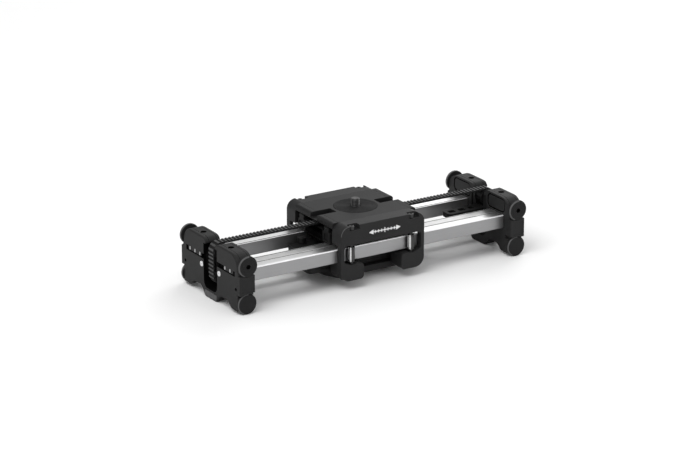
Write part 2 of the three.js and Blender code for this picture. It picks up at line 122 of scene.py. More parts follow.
# ------------------------------------------------------------------ outlines (lists of 2-D points)
def fillet(corners, step=9.0):
    """Closed outline of (a, b[, radius]) corners; each corner with a radius is rounded."""
    out = []
    for i, corner in enumerate(corners):
        tip = Vector(corner[:2])
        radius = corner[2] if len(corner) > 2 else 0
        if radius <= 0:
            out.append((tip.x, tip.y))
            continue
        back = Vector(corners[i - 1][:2]) - tip
        ahead = Vector(corners[(i + 1) % len(corners)][:2]) - tip
        back_len, ahead_len = back.length, ahead.length
        back.normalize()
        ahead.normalize()
        angle = math.acos(max(-1, min(1, back.dot(ahead))))
        if angle > math.radians(179):
            out.append((tip.x, tip.y))
            continue
        trim = min(radius / math.tan(angle / 2), back_len * 0.49, ahead_len * 0.49)
        radius = trim * math.tan(angle / 2)
        bisector = (back + ahead).normalized()
        centre = tip + bisector * (radius / math.sin(angle / 2))
        start, end = tip + back * trim - centre, tip + ahead * trim - centre
        first = math.atan2(start.y, start.x)
        sweep = (math.atan2(end.y, end.x) - first + math.pi) % (2 * math.pi) - math.pi
        count = max(2, int(math.ceil(abs(math.degrees(sweep)) / step)))
        for j in range(count + 1):
            a = first + sweep * j / count
            out.append((centre.x + radius * math.cos(a), centre.y + radius * math.sin(a)))
    clean = []
    for point in out:
        if not clean or math.dist(point, clean[-1]) > 1e-3:
            clean.append(point)
    if math.dist(clean[0], clean[-1]) < 1e-3:
        clean.pop()
    return clean


def soft(corners):
    """Gently turning corners get the largest fillet that fits; given radii are kept."""
    out = []
    for i, corner in enumerate(corners):
        if len(corner) > 2:
            out.append(corner)
            continue
        tip = Vector(corner)
        before = tip - Vector(corners[i - 1][:2])
        after = Vector(corners[(i + 1) % len(corners)][:2]) - tip
        turn = 0
        if before.length > 1e-6 and after.length > 1e-6:
            turn = abs(math.degrees(before.angle(after)))
        out.append((*corner, 999 if 1 < turn < 62 else 0))
    return fillet(out, 7.0)


def rect(a0, a1, b0, b1, radius=0):
    return fillet([(a0, b0, radius), (a1, b0, radius), (a1, b1, radius), (a0, b1, radius)])


def circle(a, b, radius, count):
    turns = [2 * math.pi * i / count for i in range(count)]
    return [(a + radius * math.cos(t), b + radius * math.sin(t)) for t in turns]


def span(sign, near, far):
    """The two ends of a range on the side given by sign, lower first."""
    return sorted((sign * near, sign * far))


def mirrored(points):
    """The points reflected in a = 0, in reverse order."""
    return [(-a, *rest) for a, *rest in reversed(points)]


def inset(outline, depth):
    """Moves an outline inwards by depth, which may be a list with one depth for each point."""
    n = len(outline)
    depths = depth if isinstance(depth, list) else [depth] * n
    area = sum(outline[i][0] * outline[(i + 1) % n][1] - outline[(i + 1) % n][0] * outline[i][1]
               for i in range(n))
    turn = 1 if area > 0 else -1
    out = []
    for i in range(n):
        (x0, y0), (x1, y1), (x2, y2) = outline[i - 1], outline[i], outline[(i + 1) % n]
        before, after = math.hypot(x1 - x0, y1 - y0), math.hypot(x2 - x1, y2 - y1)
        ax, ay = -(y1 - y0) / before * turn, (x1 - x0) / before * turn
        bx, by = -(y2 - y1) / after * turn, (x2 - x1) / after * turn
        k = max(0.25, 1 + ax * bx + ay * by)
        out.append((x1 + (ax + bx) / k * depths[i], y1 + (ay + by) / k * depths[i]))
    return out


def dense(outline, step=2.2):
    """The same closed outline with its long edges divided."""
    out = []
    for i, (a0, b0) in enumerate(outline):
        a1, b1 = outline[(i + 1) % len(outline)]
        k = max(1, int(math.hypot(a1 - a0, b1 - b0) / step))
        out += [(a0 + (a1 - a0) * j / k, b0 + (b1 - b0) * j / k) for j in range(k)]
    return out


def rounded(profile, radius=0.35, seg=3):
    """Rounds the inner corners of a (radius, height[, rounding]) profile for turning."""
    out = [profile[0]]
    for i in range(1, len(profile) - 1):
        tip = Vector(profile[i][:2])
        back, ahead = Vector(profile[i - 1][:2]) - tip, Vector(profile[i + 1][:2]) - tip
        wanted = profile[i][2] if len(profile[i]) > 2 else radius
        trim = min(wanted, back.length * 0.45, ahead.length * 0.45)
        if trim < 1e-4:
            out.append((tip.x, tip.y))
            continue
        start, end = tip + back.normalized() * trim, tip + ahead.normalized() * trim
        for j in range(seg + 1):
            k = j / seg
            point = start * (1 - k) ** 2 + tip * 2 * k * (1 - k) + end * k ** 2
            out.append((point.x, point.y))
    out.append(profile[-1][:2])
    return out


# ------------------------------------------------------------------ solids
def place(axis, a, b, h):
    """Outline point (a, b) at h along an axis, in metres. x: (y, z); y: (x, z); z: (x, y)."""
    if axis == "x":
        point = (h, a, b + ORIGIN_Z)
    elif axis == "y":
        point = (a, h, b + ORIGIN_Z)
    else:
        point = (a, b, h + ORIGIN_Z)
    return Vector(point) * MM


def mesh_object(bm):
    """A scene object from bm. Its name is temporary."""
    mesh = bpy.data.meshes.new("shape")
    bm.to_mesh(mesh)
    bm.free()
    o = bpy.data.objects.new("shape", mesh)
    scene.collection.objects.link(o)
    return o


def solid(bm):
    bmesh.ops.recalc_face_normals(bm, faces=bm.faces)
    return mesh_object(bm)


def band(bm, ring, after, across=False):
    """Quads between two rings; across starts each quad with its edge from ring to ring."""
    for i in range(len(ring)):
        j = (i + 1) % len(ring)
        if across:
            bm.faces.new((ring[i], after[i], after[j], ring[j]))
        else:
            bm.faces.new((ring[i], ring[j], after[j], after[i]))


def loft(rows, axis):
    """Skins (outline, height) rows of equal length; a height may be a list, one per point."""
    bm = bmesh.new()
    rings = []
    for outline, height in rows:
        levels = height if isinstance(height, list) else [height] * len(outline)
        rings.append([bm.verts.new(place(axis, a, b, h)) for (a, b), h in zip(outline, levels)])
    bm.faces.new(rings[0])
    bm.faces.new(list(reversed(rings[-1])))
    for ring, after in zip(rings, rings[1:]):
        band(bm, ring, after, across=True)
    return solid(bm)


def prism(outline, axis, low, high):
    return loft([(outline, low), (outline, high)], axis)


def edge_rows(outline, height, edge, seg, sign):
    """Rows of a quarter-round edge, from the end face at height towards sign."""
    if edge <= 0:
        return [(outline, height)]
    angles = [math.pi / 2 * j / seg for j in range(seg + 1)]
    return [(inset(outline, edge * (1 - math.sin(t))), height + sign * edge * (1 - math.cos(t)))
            for t in angles]


def slab(outline, axis, low, high, edge=0.5, seg=3, low_edge=None):
    """A prism whose two end edges are rounded by edge (low_edge at the low end if given)."""
    low_edge = edge if low_edge is None else low_edge
    top_rows = edge_rows(outline, high, edge, seg, -1)
    return loft(edge_rows(outline, low, low_edge, seg, 1) + top_rows[::-1], axis)


def varied_slab(outline, low, high, width, low_edge=0.3, seg=6):
    """A block along X whose edge at high is rounded by width(y, z) at each point."""
    points = dense(outline)
    widths = [width(a, b) for a, b in points]
    rows = edge_rows(points, low, low_edge, 3, 1)
    for j in range(seg + 1):
        t = math.pi / 2 * j / seg
        rows.append((inset(points, [w * (1 - math.cos(t)) for w in widths]),
                     [high - w * (1 - math.sin(t)) for w in widths]))
    return loft(rows, "x")


def pocket(outline, axis, floor_h, face_h, mouth=0.35, seg=3):
    """A cutter for a pocket with a rounded mouth and a small radius at its floor."""
    sign = 1 if face_h > floor_h else -1
    root = min(0.14, abs(face_h - floor_h) * 0.2)
    rows = [(inset(outline, root), floor_h),
            (inset(outline, root * 0.3), floor_h + sign * root * 0.3),
            (outline, floor_h + sign * root)]
    for j in range(seg + 1):
        t = math.pi / 2 * j / seg
        rows.append((inset(outline, -mouth * (1 - math.cos(t))),
                     face_h - sign * mouth * (1 - math.sin(t))))
    rows.append((inset(outline, -mouth), face_h + sign * 2.0))
    return loft(rows, axis)


def turned(profile, axis, centre, seg, start=0.0):
    """Turns (radius, height) points about an axis; a profile starting off it is a ring."""
    bm = bmesh.new()
    rings = []
    for radius, height in profile:
        angles = [2 * math.pi * i / seg for i in range(1 if radius < 1e-6 else seg)]
        rings.append([bm.verts.new(place(axis, centre[0] + radius * math.cos(t),
                                         centre[1] + radius * math.sin(t), start + height))
                      for t in angles])
    closing = rings[:1] if profile[0][0] > 1e-6 else []
    for ring, after in zip(rings, rings[1:] + closing):
        if len(ring) == 1:
            for i in range(seg):
                bm.faces.new((ring[0], after[i], after[(i + 1) % seg]))
        elif len(after) == 1:
            for i in range(seg):
                bm.faces.new((ring[i], ring[(i + 1) % seg], after[0]))
        else:
            band(bm, ring, after)
    return solid(bm)


def pin(radius, low, high, axis, centre, seg, start=0.0):
    """A plain round pin with rounded ends."""
    profile = [(0, low), (radius, low), (radius, high), (0, high)]
    return turned(rounded(profile), axis, centre, seg, start)


THREAD_PITCH = 1.5875


def thread(root, crest, low, high, seg, outer=None, per=12, lead=0.8):
    """A threaded rod along Z, or the threaded inside of a bush of radius outer."""
    bm = bmesh.new()
    count = int((high - low) / THREAD_PITCH * per)
    rings = []
    for k in range(count + 1):
        h = low + (high - low) * k / count
        ring = []
        for i in range(seg):
            t = 2 * math.pi * i / seg
            phase = ((h - low) / THREAD_PITCH - i / seg) % 1.0
            ridge = 1 - abs(2 * phase - 1)
            r = root + (crest - root) * min(1, max(0, ridge * 1.35 - 0.15))
            from_end = min(h - low, high - h)
            if from_end < lead:
                r = max(r, crest - from_end * 0.5) if outer else min(r, root * 0.94 + from_end)
            ring.append(bm.verts.new(place("z", r * math.cos(t), r * math.sin(t), h)))
        rings.append(ring)
    for ring, after in zip(rings, rings[1:]):
        band(bm, ring, after)
    if outer:
        profile = [(outer - 0.4, low), (outer - 0.12, low + 0.12), (outer, low + 0.4),
                   (outer, high - 0.4), (outer - 0.12, high - 0.12), (outer - 0.4, high)]
        wall = [[bm.verts.new(place("z", *point, h)) for point in circle(0, 0, r, seg)]
                for r, h in profile]
        chain = [rings[0]] + wall + [rings[-1]]
        for ring, after in zip(chain, chain[1:]):
            band(bm, ring, after, across=True)
    else:
        bm.faces.new(rings[0])
        bm.faces.new(list(reversed(rings[-1])))
    return solid(bm)


# ------------------------------------------------------------------ work on objects
def apply(o):
    """Applies the object's modifiers."""
    depsgraph = bpy.context.evaluated_depsgraph_get()
    mesh = bpy.data.meshes.new_from_object(o.evaluated_get(depsgraph))
    o.modifiers.clear()
    old = o.data
    o.data = mesh
    bpy.data.meshes.remove(old)


def boolean(o, others, operation="DIFFERENCE"):
    """Cuts or joins each solid in turn and removes it."""
    for other in others:
        modifier = o.modifiers.new("b", "BOOLEAN")
        modifier.operation = operation
        modifier.object = other
        modifier.solver = "EXACT"
        apply(o)
        bpy.data.objects.remove(other)
    return o


def flip(o, axis):
    """Mirrors the mesh in place along axis 'x' or 'y'."""
    k = "xy".index(axis)
    bm = bmesh.new()
    bm.from_mesh(o.data)
    for v in bm.verts:
        v.co[k] = -v.co[k]
    bmesh.ops.reverse_faces(bm, faces=bm.faces)
    bm.to_mesh(o.data)
    bm.free()
    return o


def copy(o):
    twin = bpy.data.objects.new("shape", o.data.copy())
    scene.collection.objects.link(twin)
    return twin


def pair(o, axis):
    """The piece and its mirror image."""
    return copy(o), flip(o, axis)


def seat(o, side, end="rear"):
    """Moves a piece made at the right rear to its own side and end."""
    if end == "front":
        flip(o, "y")
    return flip(o, "x") if side == "left" else o


def join(objects):
    """One object from several meshes, which stay separate shells."""
    bm = bmesh.new()
    for o in objects:
        bm.from_mesh(o.data)
    joined = mesh_object(bm)
    for o in objects:
        bpy.data.objects.remove(o)
    return joined


def tidy(o):
    """Merges doubled points and removes slivers and loose points."""
    bm = bmesh.new()
    bm.from_mesh(o.data)
    bmesh.ops.remove_doubles(bm, verts=bm.verts, dist=0.003 * MM)
    bmesh.ops.dissolve_degenerate(bm, edges=bm.edges, dist=0.003 * MM)
    loose = [v for v in bm.verts if not v.link_faces]
    bmesh.ops.delete(bm, geom=loose, context="VERTS")
    bm.to_mesh(o.data)
    bm.free()


def smooth(o, angle):
    """Smooth shading, with edges sharper than angle (degrees) left sharp."""
    mesh = o.data
    mesh.polygons.foreach_set("use_smooth", [True] * len(mesh.polygons))
    mesh.set_sharp_from_angle(angle=math.radians(angle))
    modifier = o.modifiers.new("wn", "WEIGHTED_NORMAL")
    modifier.keep_sharp = True
    modifier.weight = 90
    modifier.mode = "FACE_AREA"
    apply(o)


def install(o, name, body, finish, angle=38, printed=False):
    """Finishes a piece and lets it ride its body; a printed mark has no CAD node."""
    tidy(o)
    o.name = name + "_v"
    o.data.name = name + "_v"
    smooth(o, angle)
    o.data.materials.clear()
    o.data.materials.append(FINISH[finish])
    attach(o, body)
    if not printed:
        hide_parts(name)
    return o


def paint(o, finish, test):
    """Gives a second finish to faces whose centre (x, y, z) and normal pass the test."""
    mesh = o.data
    mesh.materials.append(FINISH[finish])
    index = len(mesh.materials) - 1
    for face in mesh.polygons:
        c = face.center
        if test(c.x * 1000, c.y * 1000, c.z * 1000 - ORIGIN_Z, face.normal):
            face.material_index = index


# ------------------------------------------------------------------ finishes
def make_finish(name, dark, light, rough, grain, bump, metal=0.0, spec=0.5, edge=None,
                edge_r=0.35, edge_amt=0.5, brushed=False, rough_var=0.07, speck=0.0,
                top=None, lit=None):
    """A procedural grey finish, scaled in millimetres.

    dark, light: the two linear greys the grain moves between. grain: noise scale.
    edge, edge_r, edge_amt: grey, reach and amount of the lighter edges, partly wear and partly a
    painted highlight. speck: bright specks.
    brushed: draws the grain out along X. top: grey and roughness of the faces that point up, a
    painted reflection of the light above.
    lit: grey of a painted reflection, a metallic strip on the side that faces toward, an (x, y)
    direction.
    """
    m = bpy.data.materials.new(name)
    m.use_nodes = True
    tree = m.node_tree
    tree.nodes.clear()
    new, link = tree.nodes.new, tree.links.new

    def feed(value, socket):
        if isinstance(value, (int, float, tuple)):
            socket.default_value = value
        else:
            link(value, socket)

    def calc(op, a, b, clamp=False):
        n = new("ShaderNodeMath")
        n.operation = op
        n.use_clamp = clamp
        feed(a, n.inputs[0])
        feed(b, n.inputs[1])
        return n.outputs[0]

    def ramp(value, start, gain):
        return calc("MULTIPLY", calc("SUBTRACT", value, start), gain, True)

    def noise(vector, scale, detail=3.0, rough=0.55):
        n = new("ShaderNodeTexNoise")
        n.inputs["Scale"].default_value = scale
        n.inputs["Detail"].default_value = detail
        n.inputs["Roughness"].default_value = rough
        link(vector, n.inputs["Vector"])
        return n.outputs["Fac"]

    def scaled(vector, scale):
        n = new("ShaderNodeMapping")
        n.inputs["Scale"].default_value = scale
        link(vector, n.inputs["Vector"])
        return n.outputs[0]

    def dot(a, b):
        n = new("ShaderNodeVectorMath")
        n.operation = "DOT_PRODUCT"
        feed(a, n.inputs[0])
        feed(b, n.inputs[1])
        return n.outputs["Value"]

    def mix(factor, a, b):
        n = new("ShaderNodeMix")
        n.data_type = "RGBA"
        link(factor, n.inputs[0])
        feed(a, n.inputs[6])
        feed(b, n.inputs[7])
        return n.outputs[2]

    def grey(value):
        return (value, value, value, 1)

    output = new("ShaderNodeOutputMaterial")
    shader = new("ShaderNodeBsdfPrincipled")
    link(shader.outputs[0], output.inputs[0])
    pos = scaled(new("ShaderNodeTexCoord").outputs["Object"], (1000, 1000, 1000))
    grain_pos = scaled(pos, (0.02, 1.0, 1.0)) if brushed else pos

    # colour: fine grain with a slow drift, the light grey a touch bluer
    fine = noise(grain_pos, scale=grain, detail=4.0, rough=0.6)
    slow = noise(pos, scale=0.04, detail=2.0, rough=0.5)
    blend = calc("ADD", calc("MULTIPLY", fine, 0.6), calc("MULTIPLY", slow, 0.4))
    colour = mix(ramp(blend, start=0.32, gain=2.6),
                 (dark, dark, dark * 1.01, 1), (light, light, light * 1.015, 1))
    if speck:
        spots = calc("GREATER_THAN", noise(pos, scale=grain * 2.3, detail=1.0, rough=0.4), 0.67)
        colour = mix(calc("MULTIPLY", spots, speck), colour, grey(light * 2.2))
    if edge is not None:
        # the bevelled normal leaves the true one near an edge; there the grey is lightened, partly
        # as wear and partly as a painted highlight, and noise breaks it up
        bevel = new("ShaderNodeBevel")
        bevel.samples = 4
        bevel.inputs["Radius"].default_value = edge_r * MM
        geometry = new("ShaderNodeNewGeometry")
        near = dot(bevel.outputs[0], geometry.outputs["Normal"])
        rim = calc("MULTIPLY", calc("SUBTRACT", 0.985, near), 9.0, True)
        patches = calc("MULTIPLY", noise(pos, scale=0.5, detail=4.0, rough=0.7), 1.3)
        wear_and_highlight = calc("MULTIPLY", rim, calc("ADD", patches, -0.1), True)
        colour = mix(calc("MULTIPLY", wear_and_highlight, edge_amt), colour, grey(edge))
    uneven = calc("MULTIPLY", noise(grain_pos, scale=grain * 0.35), rough_var)
    roughness = calc("ADD", rough - rough_var / 2, uneven)
    # faces that point up take a lighter grey: a painted reflection of the light above
    if top:
        normal = new("ShaderNodeNewGeometry").outputs["True Normal"]
        split = new("ShaderNodeSeparateXYZ")
        link(normal, split.inputs[0])
        lit_top_mask = ramp(split.outputs["Z"], start=0.55, gain=6.0)
        colour = mix(lit_top_mask, colour, grey(top["grey"]))
        blend_rough = new("ShaderNodeMix")
        blend_rough.data_type = "FLOAT"
        link(lit_top_mask, blend_rough.inputs[0])
        link(roughness, blend_rough.inputs[2])
        blend_rough.inputs[3].default_value = top["rough"]
        roughness = blend_rough.outputs[0]
    shader.inputs["Metallic"].default_value = metal
    # a light metallic strip on the side that faces one way: a painted reflection
    if lit:
        normal = new("ShaderNodeNewGeometry").outputs["Normal"]
        strip = ramp(dot(normal, (*lit["toward"], 0)), start=0.74, gain=9.0)
        colour = mix(strip, colour, grey(lit["grey"]))
        link(calc("MULTIPLY", strip, 0.9), shader.inputs["Metallic"])
    link(colour, shader.inputs["Base Color"])
    link(roughness, shader.inputs["Roughness"])
    shader.inputs["Specular IOR Level"].default_value = spec
    relief = new("ShaderNodeBump")
    relief.inputs["Strength"].default_value = bump
    relief.inputs["Distance"].default_value = 0.12 * MM
    coarse = calc("MULTIPLY", noise(pos, scale=grain * 0.22), 0.35)
    link(calc("ADD", calc("MULTIPLY", fine, 0.8), coarse), relief.inputs["Height"])
    link(relief.outputs[0], shader.inputs["Normal"])
    return m


# edge: a lighter grey along the edges, partly wear and partly a painted highlight
FINISH_SETTINGS = {
    "shell": dict(dark=0.010, light=0.016, rough=0.60, spec=0.20, grain=1.9, bump=0.14,
                  edge=0.075, edge_amt=0.75, speck=0.06),
    "anodised": dict(dark=0.011, light=0.017, rough=0.56, spec=0.20, grain=2.6, bump=0.08,
                     edge=0.10, edge_amt=0.75),
    "shell_dark": dict(dark=0.005, light=0.009, rough=0.6, spec=0.18, grain=1.7, bump=0.12,
                       edge=0.045),
    "rubber": dict(dark=0.009, light=0.015, rough=0.75, spec=0.18, grain=1.2, bump=0.25,
                   edge=0.07, edge_amt=0.7, speck=0.08),
    "belt": dict(dark=0.004, light=0.008, rough=0.7, spec=0.2, grain=1.5, bump=0.2,
                 edge=0.03, edge_r=0.2),
    # the top faces are painted far lighter than the sides: a painted reflection
    "rail": dict(dark=0.31, light=0.35, rough=0.42, metal=1.0, grain=3.2, bump=0.0,
                 brushed=True, rough_var=0.05, top=dict(grey=0.86, rough=0.33)),
    # near white on the rounded top edges: a painted highlight
    "rail_edge_highlight": dict(dark=0.86, light=0.92, rough=0.35, metal=0.35, grain=3.2, bump=0.004,
                      brushed=True, rough_var=0.05),
    # dark grey in the top grooves of the rails: painted shade
    "rail_groove_shade": dict(dark=0.10, light=0.14, rough=0.55, metal=0.6, grain=3.2, bump=0.004,
                        brushed=True, rough_var=0.05),
    "steel": dict(dark=0.62, light=0.78, rough=0.30, metal=1.0, grain=2.4, bump=0.04,
                  rough_var=0.10, edge=0.9, edge_amt=0.7),
    "black_steel": dict(dark=0.010, light=0.018, rough=0.40, spec=0.45, grain=2.0, bump=0.06,
                        edge=0.12, edge_amt=0.7),
    # a darker copy of the anodised grey, to cancel the sheen the lights give the deck's top:
    # painted shade
    "deck": dict(dark=0.0075, light=0.0115, rough=0.58, spec=0.18, grain=2.6, bump=0.08,
                 edge=0.09, edge_amt=0.75),
    "print_grey": dict(dark=0.40, light=0.48, rough=0.55, spec=0.3, grain=2.2, bump=0.06),
    "print": dict(dark=0.68, light=0.78, rough=0.55, spec=0.3, grain=2.2, bump=0.06),
    # near black for slots, gaps, holes, seams, sockets and roller ends: painted shade
    "cavity_shade": dict(dark=0.0012, light=0.0022, rough=0.9, spec=0.04, grain=1.5, bump=0.1),
    # lighter grey on parts that face the key light: a painted highlight
    "rim": dict(dark=0.055, light=0.085, rough=0.5, spec=0.3, grain=1.4, bump=0.12,
                edge=0.16, edge_amt=0.6),
    "crown": dict(dark=0.038, light=0.060, rough=0.6, spec=0.3, grain=1.5, bump=0.2),
    "pad": dict(dark=0.10, light=0.135, rough=0.6, spec=0.3, grain=1.4, bump=0.15,
                edge=0.12, edge_amt=0.6),
    # black gloss with a painted reflection strip on the side facing -X
    "chrome_with_painted_reflection": dict(dark=0.012, light=0.02, rough=0.22, grain=2.0, bump=0.02,
                   lit=dict(grey=0.66, toward=(-0.93, -0.37))),
}
FINISH = {key: make_finish("finish_" + key, **settings)
          for key, settings in FINISH_SETTINGS.items()}


# ------------------------------------------------------------------ end blocks
BUMPER_SEAT_Y, FOOT_SEAT_Y = 57.4, 55.4    # side faces behind the discs
SLOT_Y = 13.6                              # half width of the central slot
FACE_SCREW = (17.9, 26.9)                  # (y, z) on the end face
SIDE_HOLE = (52.0, 20.3)                   # (y, z) of a plain hole in the end face
TOP_HOLE = (166.4, 28.3)                   # (x, y) of a hole from above
SEAMS_X = (END_X - 4.6, BLOCK_X + 3.4)
WINDOW_TICKS_Y = (42.6, 32.4, 22.2, -29.3, -39.5)

# rear half of the block's outline: y, z[, radius], from the middle below to the slot floor
BLOCK_HALF = [
    (0, BLOCK_LOW), (10.6, BLOCK_LOW), (12.2, BLOCK_LOW + 0.9), (15.0, -1.4), (17.8, 1.8),
    (21.5, 3.3), (32, 3.3), (35.6, 2.4), (38.4, 0.4), (40.4, -1.9), (43.0, -3.1),
    (FOOT_SEAT_Y, -3.1, 1.8), (FOOT_SEAT_Y, 14.5, 0), (SIDE_Y, 14.5, 1.0),
    (SIDE_Y, 35.6, 1.0), (BUMPER_SEAT_Y, 35.6, 0), (BUMPER_SEAT_Y, 44.5),
    (56.6, 48.0), (54.9, 50.8), (52.2, 53.3), (49.1, 55.2), (46, 56.4), (42.4, BLOCK_TOP),
    (16.5, BLOCK_TOP), (13.4, 56.3), (11.0, 54.6), (9.8, 52.6), (9.8, 50.9, 0.45),
    (SLOT_Y, 50.9, 0), (SLOT_Y, 9.0), (11.6, 5.2), (8.6, 3.5), (0, 3.5)]
block_outline = soft(BLOCK_HALF + mirrored(BLOCK_HALF[1:-1]))


def ease(t):
    t = max(0.0, min(1.0, t))
    return t * t * (3 - 2 * t)


def face_round(y, z):
    """Edge width of the end face: wide on the outer upper shoulders, least round the slot."""
    a = abs(y)
    if a < 14.2 and 4.0 < z < 53.5:
        return 0.3
    if a < 16 and z < 4:
        return 0.3
    outer = ease((a - 43.5) / 13.0)
    return (0.75 + 3.1 * outer * ease((z - 35.9) / 5.0)
            + 0.9 * ease((z - 52) / 4) * ease((a - 12) / 5) * (1 - outer))


def pad_outline(gap):
    """Outline of the end pad, grown by gap for its pocket."""
    half = [(0, -5.0 - gap), (10.0 + gap * 0.6, -5.0 - gap), (11.3 + gap * 0.8, -4.4 - gap * 0.7),
            (12.1 + gap, -3.0), (12.1 + gap, 0.3 + gap * 0.5), (11.5 + gap * 0.5, 0.9 + gap),
            (0, 0.9 + gap)]
    return soft(half + mirrored(half[1:-1]))


def window_cuts(sign):
    """A nearly flush strip with a deep gap under it and at both ends."""
    near, far = (18.8 if sign > 0 else 26.6), 46.0
    # near y, far y, low z, high z, corner radius, depth, mouth
    table = [(12.4, 49.9, 33.25, 34.5, 0.25, 3.45, 0.25),
             (far, 49.8, 33.6, 38.75, 0.6, 3.4, 0.25),
             (12.2, near, 33.7, 38.65, 0.6, 3.4, 0.25),
             (near - 0.5, far + 0.5, 34.0, 38.7, 0.3, 0.55, 0.2)]
    return [pocket(rect(*span(sign, y0, y1), z0, z1, radius), "x", END_X - depth, END_X, mouth)
            for y0, y1, z0, z1, radius, depth, mouth in table]


def panel_cuts(sign):
    """A sunk panel on the inner face with a deep groove round it."""
    outer = rect(*span(sign, 16.0, 48.2), 39.6, 55.0, 5.5)
    panel = rect(*span(sign, 17.4, 46.8), 41.0, 53.6, 4.2)
    sink = pocket(outer, "x", BLOCK_X + 0.4, BLOCK_X, 0.3)
    groove = prism(outer, "x", BLOCK_X - 1, BLOCK_X + 2.2)
    boolean(groove, [slab(panel, "x", BLOCK_X + 0.35, BLOCK_X + 5, edge=0.0, low_edge=0.35)])
    above = rect(*span(sign, 10, 52), 36, 58)
    boolean(groove, [prism(above, "x", BLOCK_X - 3, BLOCK_X + 0.35)])
    return [sink, groove]


def side_cuts(sign):
    """Holes and round reliefs for the bumper and foot, and two cuts on the waist."""
    relief = DISC_R + 0.4
    return [
        pocket(circle(DISC_X, BUMPER_Z, 1.75, 20), "y", sign * 48, sign * BUMPER_SEAT_Y, 0.25),
        pocket(circle(DISC_X, FOOT_Z, 3.2, 28), "y", sign * 52.8, sign * FOOT_SEAT_Y, 0.25),
        prism(circle(DISC_X, BUMPER_Z, relief, 96), "y", *span(sign, BUMPER_SEAT_Y, 62)),
        prism(circle(DISC_X, FOOT_Z, relief, 96), "y", *span(sign, FOOT_SEAT_Y, 62)),
        prism(rect(BLOCK_X - 1, BLOCK_X + 2.0, *span(sign, 50.4, 62), 0.4), "z", 12.6, 16.8),
        # shallow ledge on the outer side
        prism(rect(END_X - 15.4, END_X - 2.2, *span(sign, 59.8, 62), 0.1), "z", 17.2, 33.0)]


def end_block():
    o = varied_slab(block_outline, BLOCK_X, END_X, face_round)
    cuts = []
    for s in (-1, 1):
        top_x, top_y = TOP_HOLE
        side_y, side_z = SIDE_HOLE
        screw_y, screw_z = FACE_SCREW
        cuts += [
            pocket(circle(top_x, s * top_y, 3.2, 40), "z", BLOCK_TOP - 9, BLOCK_TOP, 0.45),
            pocket(circle(s * side_y, side_z, 1.9, 28), "x", END_X - 4, END_X, 0.15),
            pocket(circle(s * screw_y, screw_z, 3.35, 40), "x", END_X - 1.6, END_X, 0.3),
            pocket(circle(s * screw_y, screw_z, 1.7, 20), "x", END_X - 9, END_X - 1.5, 0.1)]
        cuts += window_cuts(s) + panel_cuts(s) + side_cuts(s)
    cuts.append(pocket(pad_outline(0.3), "x", END_X - 1.2, END_X, 0.3))
    boolean(o, cuts)
    # fine seams round the upper outline, parallel to the end face
    for x in SEAMS_X:
        seam = prism(inset(block_outline, -1.0), "x", x - 0.21, x + 0.21)
        boolean(seam, [prism(inset(block_outline, 0.25), "x", x - 0.6, x + 0.6)])
        boolean(seam, [prism(rect(-70, 70, 39.0, 70), "x", x - 2, x + 2)], "INTERSECT")
        boolean(o, [seam])
    return o


def hollow(x, y, z, n):
    """Faces inside the block's slot, gaps, holes and grooves, which get painted shade."""
    x, a = abs(x), abs(y)
    in_slot = a < 13.75 and 3.4 < z < 50.95 and abs(n.x) < 0.75
    if in_slot and (a > 13.4 or z < 9.2 or z > 50.7):
        return True
    if z > 38.9 and min(abs(x - seam) for seam in SEAMS_X) < 0.24:
        return True
    # scale window, except the face of its strip
    if END_X - 3.6 < x < END_X - 0.35 and 12 < a < 50.1 and 33.2 < z < 38.8:
        return not (x > END_X - 0.7 and abs(n.x) > 0.9)
    if math.dist((a, z), SIDE_HOLE) < 2.05 and x < END_X - 0.2:
        return True
    if math.dist((a, z), FACE_SCREW) < 3.5 and x < END_X - 0.3:
        return True
    if math.dist((x, a), TOP_HOLE) < 3.3 and BLOCK_TOP - 9.1 < z < BLOCK_TOP - 0.4:
        return True
    # groove round the panel, then the end pad's pocket
    if BLOCK_X + 0.75 < x < BLOCK_X + 2.3 and 15.8 < a < 48.4 and 39.4 < z < 55.2:
        return True
    return END_X - 1.3 < x < END_X - 0.3 and a < 12.6 and -5.5 < z < 1.4


for o, side in zip(pair(end_block(), "x"), ("right", "left")):
    install(o, "end_block_" + side, "rail_frame", "shell", angle=33)
    # the hollows of the block are painted near black as shade
    paint(o, "cavity_shade", hollow)


def scale_marks(side):
    """Light index bars printed on the strip of each scale window."""
    bars = [slab(rect(y - 0.95, y + 0.95, 34.7, 38.3, 0.25), "x", END_X - 0.62, END_X - 0.45,
                 edge=0.06, seg=2, low_edge=0) for y in WINDOW_TICKS_Y]
    return seat(join(bars), side)


for side in ("right", "left"):
    install(scale_marks(side), "scale_marks_" + side, "rail_frame", "print_grey", printed=True)


# ------------------------------------------------------------------ bumpers, feet, face screws
def bumper(side, end):
    y0, y1, r = BUMPER_IN_Y, BUMPER_Y, DISC_R
    centre = (DISC_X, BUMPER_Z)
    # radius, y, rounding
    profile = [
        (0, y0), (r - 0.5, y0, 0.3), (r, y0 + 0.5, 0.3), (r, y1 - 2.2, 0), (r, y1 - 1.25, 0.3),
        (r - 1.15, y1 - 0.05, 0.3), (r - 1.5, y1, 0.1), (r - 3.3, y1, 0.15),
        (r - 3.5, y1 - 0.25, 0.12), (r - 3.9, y1 - 0.25, 0.12), (r - 4.1, y1, 0.15),
        (4.6, y1, 0.15), (4.4, y1 - 0.25, 0.1), (3.9, y1 - 0.25, 0.1), (3.7, y1, 0.15), (0, y1)]
    o = turned(rounded(profile), "y", centre, 96)
    boolean(o, [pocket(circle(*centre, 2.75, 6), "y", y1 - 2.6, y1, 0.15)])
    boolean(o, [pin(1.45, 49, y0 + 0.5, "y", centre, 32)], "UNION")
    return seat(o, side, end)


